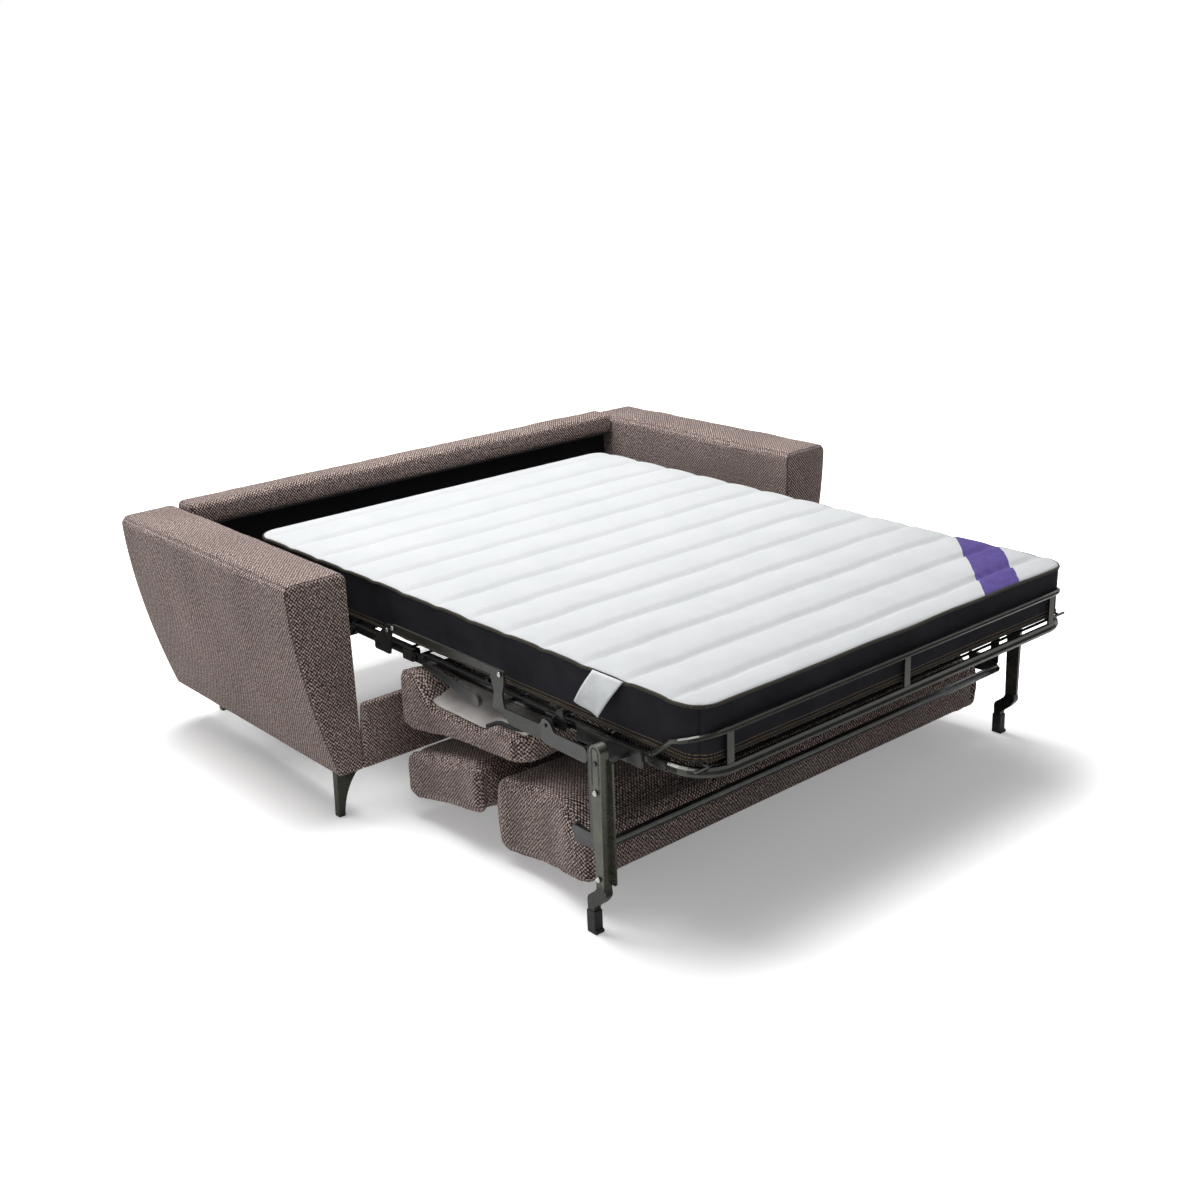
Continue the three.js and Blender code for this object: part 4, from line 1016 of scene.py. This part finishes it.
def plan_loop(height, out, wobble):
    """Points round the mattress at one height, which dip at each sewn line."""
    radius = CORNER + out
    reach = np.array([M_HALF, (M_END - M_START) / 2]) + out - radius
    signs = ((1, 1), (-1, 1), (-1, -1), (1, -1))

    def on_corner(number, share):
        turn = math.pi / 2 * (number + share)
        sign_x, sign_y = signs[number % 4]
        return reach[0] * sign_x + radius * math.cos(turn), reach[1] * sign_y + radius * math.sin(turn)

    points = []
    for number in range(4):
        points += [on_corner(number, i / 10) for i in range(11)]
        begin, end = points[-1], on_corner(number + 1, 0)
        steps = int(math.dist(begin, end) / 12)
        for i in range(1, steps):
            share = i / steps
            points.append(tuple(a + (b - a) * share for a, b in zip(begin, end)))
    flat = np.array(points)
    depth = M_MIDDLE - flat[:, 1]
    ripple = 1.5 * noise3(np.c_[flat, flat[:, :1] * 0], 260, 51)
    lift = wobble * (ripple - 3.4 * np.exp(-(from_seam(depth) / 20) ** 2))
    return [at(x, y, height + rise) for x, y, rise in zip(flat[:, 0], depth, lift)]


mattress = build_mattress()
top_piping = joined("top_piping", [tube_mesh(plan_loop(M_TOP - 11, -2.0, 1.0), 4.6 * MM, 8, closed=True)])
low_piping = joined("low_piping", [tube_mesh(plan_loop(M_LOW + 6, -2.5, 0.4), 4.0 * MM, 8, closed=True)])
for piece in (top_piping, low_piping):
    paint(piece, "ticking", "border", "piping")
    piece.data.polygons.foreach_set("material_index", np.full(len(piece.data.polygons), 2, np.int32))


def cut_zone(sources, name, near, far):
    """The part of the sources between two depths, closed at its cuts, with its rest coordinates kept."""
    whole = bmesh.new()
    for source in sources:
        piece = bmesh.new()
        piece.from_mesh(source.data)
        for depth, keep_beyond in ((near, True), (far, False)):
            if depth is None:
                continue
            result = bmesh.ops.bisect_plane(
                piece, geom=piece.verts[:] + piece.edges[:] + piece.faces[:],
                plane_co=at(0, depth, 0), plane_no=(0, 1, 0),
                clear_outer=keep_beyond, clear_inner=not keep_beyond,
            )
            cut_edges = [g for g in result["geom_cut"] if isinstance(g, bmesh.types.BMEdge)]
            bmesh.ops.edgeloop_fill(piece, edges=cut_edges, mat_nr=1, use_smooth=False)
            for edge in cut_edges:
                edge.smooth = False
        temp = bpy.data.meshes.new("temp")
        piece.to_mesh(temp)
        whole.from_mesh(temp)
        bpy.data.meshes.remove(temp)
        piece.free()
    mesh = bpy.data.meshes.new(name)
    whole.to_mesh(mesh)
    whole.free()
    for material in sources[0].data.materials:
        mesh.materials.append(material)
    obj = bpy.data.objects.new(name, mesh)
    scene.collection.objects.link(obj)
    rest = mesh.attributes.new("rest", "FLOAT_VECTOR", "POINT")
    rest.data.foreach_set("vector", read(obj).astype(np.float32).ravel())
    return obj


# Depths of the frame's three hinges, and how far each fold zone of the mattress reaches to each side of them
H1, H2, H3 = 724.0, 1066.0, 1666.0
BEND = 171.0
FOOT_BEND = 130.0
zones = [
    ("head", None, H1 - BEND, ("head_section",), ("mattress_head",)),
    ("first_fold", H1 - BEND, H1 + BEND, ("head_section", "bridge_section"), ("mattress_fold",)),
    ("second_fold", H2 - BEND, H2 + BEND, ("bridge_section", "middle_section"), ("mattress_fold",)),
    ("middle", H2 + BEND, H3 - FOOT_BEND, ("middle_section",), ("mattress_middle",)),
    ("third_fold", H3 - FOOT_BEND, H3 + FOOT_BEND, ("middle_section", "foot_section"),
     ("mattress_middle", "mattress_foot")),
    ("foot", H3 + FOOT_BEND, None, ("foot_section",), ("mattress_foot",)),
]
for name, near, far, bodies, nodes in zones:
    zone = cut_zone([mattress, top_piping, low_piping], "mattress_pad_" + name, near, far)
    if len(bodies) == 1:
        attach(zone, bodies[0])
    else:
        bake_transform(zone)
    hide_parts(*nodes)
for used in (mattress, top_piping, low_piping):
    bpy.data.objects.remove(used)


# Cushions: each is drawn smaller by INSET, and cloth swells it by up to SWELL, in mm
INSET = 5.0
SWELL = 8.0
PIN_WIDTH = 0.006


def cushion(name, body, half_x, depth_range, heights, radius, shaping, hold=None):
    """A padded block with a sewn edge round each end panel, swollen between its seams."""
    near, far = depth_range
    low, high = heights
    half = np.array([half_x, (far - near) / 2, (high - low) / 2]) - INSET
    obj = grid_box(name, lines(half[0], 10, 40, 6), lines(half[1], 10, 30, 6), lines(half[2], 10, 30, 6))
    co = rounded(read(obj), half, radius)
    co = shaping(co, co / half)
    obj.data.flip_normals()
    place_points(obj, *co.T)
    seam_x = (half[0] - 0.3 * radius) * MM

    def pins(points):
        held = np.exp(-((np.abs(points[:, 0]) - seam_x) / PIN_WIDTH) ** 2) * 0.9
        return held if hold is None else np.maximum(held, hold(points))

    puff(obj, SWELL * MM, pins)
    distance = np.abs(np.abs(read(obj)[:, 0]) - seam_x) / MM
    sew(obj, distance, depth=1.6, width=2.6, shadow=0.35)
    upholster(obj, body)
    return obj


SEAT_NEAR, SEAT_FAR = 1034.0, 1576.0
SEAT_LOW, SEAT_HIGH = 241.0, 393.0
BACK_NEAR, BACK_FAR = 1440, 1828
BACK_LOW, BACK_HIGH, BACK_RISE = 30, 240, 40
REST_NEAR, REST_FAR = 1062, 1412
REST_LOW, REST_HIGH, REST_TILT = 52, 190, 66


def seat_top(x, depth):
    """The height of the seat cushion's lined top, with its raised front lip and sloped ends."""
    front = depth - SEAT_NEAR
    lip = smoothstep(153.6 - front, 0, 96)
    edge = smoothstep(np.abs(x), 742, 776)
    slope = smoothstep(np.abs(x), 590, 776)
    level = 1 - 0.7 * smoothstep(front, 346, 430)
    return SEAT_HIGH + lip * (30 + 34 * edge) - (1 - lip) * 52 * slope * level


def seat_shape(co, share):
    u, v, w = share.T
    depth = co[:, 1] + (SEAT_NEAR + SEAT_FAR) / 2
    corner = np.clip(np.abs(u) - 0.94, 0, None) / 0.06
    corner_cut = 30 * corner * unit(v) ** 6
    drawn = (1 - v ** 2) * 12 * np.abs(u) ** 8
    up = unit(w)
    down = unit(-w)
    height = co[:, 2] + (SEAT_LOW + SEAT_HIGH) / 2
    height += up * (seat_top(co[:, 0], depth) - SEAT_HIGH + 4)
    height += down * (60 * (1 + v) / 2 + 5)
    height += 3.0 * noise3(co * [1, 1, 0.2], 260, 62) * down
    return np.stack([co[:, 0] - np.sign(co[:, 0]) * drawn, depth - corner_cut, height], 1)


def under_lining(points):
    """The part of the seat's top that lies against the lining and its board."""
    x, depth = np.abs(points[:, 0]) / MM, CENTRE - points[:, 1] / MM
    on_top = points[:, 2] / MM > seat_top(x, depth) - 14
    return 0.97 * on_top * (x < 728) * (depth > 1170)


def back_shape(co, share):
    u, v, w = share.T
    depth = co[:, 1] + (BACK_NEAR + BACK_FAR) / 2
    part = (v + 1) / 2
    up = unit(w)
    low = BACK_LOW + 42 * part
    high = BACK_HIGH + BACK_RISE * part - 58 * smoothstep(part, 0.7, 0.91)
    height = low + INSET + (high - low - 2 * INSET) * (w + 1) / 2
    height += 8 * up * (1 - u ** 4) * unit(1 - (v + 0.3) ** 2)
    height += 3.0 * noise3(co * [1, 1, 0.2], 260, 63) * up
    drawn = 2 * np.maximum(0, 0.5 - v) * (1 + v) * 12 * np.abs(u) ** 8
    return np.stack([co[:, 0] - np.sign(co[:, 0]) * drawn, depth, height], 1)


def rest_shape(co, share):
    u, v, w = share.T
    depth = co[:, 1] + (REST_NEAR + REST_FAR) / 2
    up = unit(w)
    height = co[:, 2] + (REST_LOW + REST_HIGH) / 2 + REST_TILT * (v + 1) / 2
    height += 6 * up * (1 - u ** 4) * (1 - v ** 2)
    height += 2.5 * noise3(co * [1, 1, 0.2], 240, 64) * up
    drawn = (1 - v ** 2) * 10 * np.abs(u) ** 8
    return np.stack([co[:, 0] - np.sign(co[:, 0]) * drawn, depth, height], 1)


seat = cushion(
    "seat_pad", "seat", 772, (SEAT_NEAR, SEAT_FAR), (SEAT_LOW, SEAT_HIGH), 30, seat_shape, hold=under_lining,
)
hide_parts("seat_cushion")
back = cushion("back_pad", "back", 771, (BACK_NEAR, BACK_FAR), (BACK_LOW, BACK_HIGH), 34, back_shape)
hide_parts("back_cushion")
rest = cushion("headrest_pad", "headrest", 787, (REST_NEAR, REST_FAR), (REST_LOW, REST_HIGH), 28, rest_shape)
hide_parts("headrest_cushion")

# Seat lining
LINING_HALF, LINING_NEAR, LINING_FAR = 738.0, 1138.0, 1560.0
LINING_MEASURED = 1320
BOARD_HALF = 604.0


def thick_sheet(name, points, row, thickness):
    """A cloth from rows of points, given its thickness in metres."""
    faces = [
        [a, a + row, a + row + 1, a + 1]
        for first in range(0, len(points) - row, row) for a in range(first, first + row - 1)
    ]
    obj = new_object(name, points, faces)
    solid = obj.modifiers.new("thick", "SOLIDIFY")
    solid.thickness = thickness
    bake(obj)
    return obj


def lining_height(x, depth):
    """The lining's rest height: on the board in the middle, on the cushion beyond its edge."""
    on_board = 1 - smoothstep(np.abs(x), BOARD_HALF, BOARD_HALF + 30)
    behind_lip = smoothstep(depth, 1230, 1262)
    return seat_top(x, depth) + 1.6 + 3.6 * on_board * behind_lip


def make_lining():
    xs = np.linspace(-LINING_HALF, LINING_HALF, 155)
    depths = np.linspace(LINING_NEAR, LINING_FAR, 49)
    x, depth = np.meshgrid(xs, depths)
    x, depth = x.ravel(), depth.ravel()
    flat = np.stack([x, depth, x * 0], 1)
    fold = 2.4 * noise3(flat * [1.0, 0.35, 0], 120, 71) + 1.6 * noise3(flat * [0.8, 1.0, 0], 62, 72)
    rim = np.minimum(LINING_HALF - np.abs(x), np.minimum(depth - LINING_NEAR, LINING_FAR - depth)) / 40
    height = lining_height(x, depth) + np.maximum(fold, -0.8) * unit(rim)
    points = [at(*p) for p in zip(x, depth, height)]
    obj = thick_sheet("seat_lining", points, len(xs), 0.0009)
    across = np.stack([xs, lining_height(xs, xs * 0 + LINING_MEASURED)], 1)
    return obj, float(np.linalg.norm(np.diff(across, axis=0), axis=1).sum())


lining, lining_width = make_lining()
paint(lining, "lining")
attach(lining, "seat")


def corner_route(side):
    """Places along the lining's outer edge, round its rear corner and inwards."""
    route = [(735.0, 1400.0 + 20 * i) for i in range(6)]
    for i in range(9):
        turn = math.pi / 2 * i / 8
        route.append((675 + 60 * math.cos(turn), 1502 + 60 * math.sin(turn)))
    route += [(675.0 - 22 * i, 1562.0) for i in range(1, 6)]
    x, depth = np.array(route).T
    return [at(*p) for p in zip(side * x, depth, lining_height(x, depth) + 3.0)]


trim = joined("lining_edge_trim", [tube_mesh(corner_route(side), 5.2 * MM, 10) for side in (1, -1)])
paint(trim, "rubber")
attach(trim, "seat")

# Blank cloth label sewn into the mattress's top seam
LABEL_TOP = np.array([(-703.0, 1783.0, 608.0), (-703.0, 1889.0, 608.0)])
LABEL_LOW = np.array([(-738.0, 1754.0, 532.0), (-738.0, 1838.0, 516.0)])


def make_label():
    points = []
    shares = np.arange(13) / 12
    for down in shares:
        left, right = LABEL_TOP * (1 - down) + LABEL_LOW * down
        for along in shares:
            x, depth, height = left * (1 - along) + right * along
            bend = 5 * math.sin(math.pi * down) + 2.5 * math.sin(FULL_TURN * along + 0.6) * down
            points.append(at(x - bend, depth, height))
    obj = thick_sheet("mattress_label", points, len(shares), 0.0006)
    paint(obj, "label")
    return obj


label = make_label()
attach(label, "foot_section")

# Rivet heads on both sides, as x, depth and height, with their radius and height in mm
def rivet_set(name, body, places, radius, height):
    obj = joined(name, [
        dome(at(side * x, depth, z), (side, 0, 0), radius * MM, height * MM)
        for x, depth, z in places for side in (1, -1)
    ])
    paint(obj, "rivet")
    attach(obj, body)


rivet_set("bed_leg_rivets", "bed_legs", [(816, 1909, 376), (816, 1909, 156)], 7.2, 3.0)
rivet_set("link_rivets", "middle_section", [(754, 1020, 526), (754, 1487, 526)], 6.6, 2.6)
rivet_set("bridge_rivets", "bridge_section", [(742, 974, 505.7)], 6.2, 2.6)
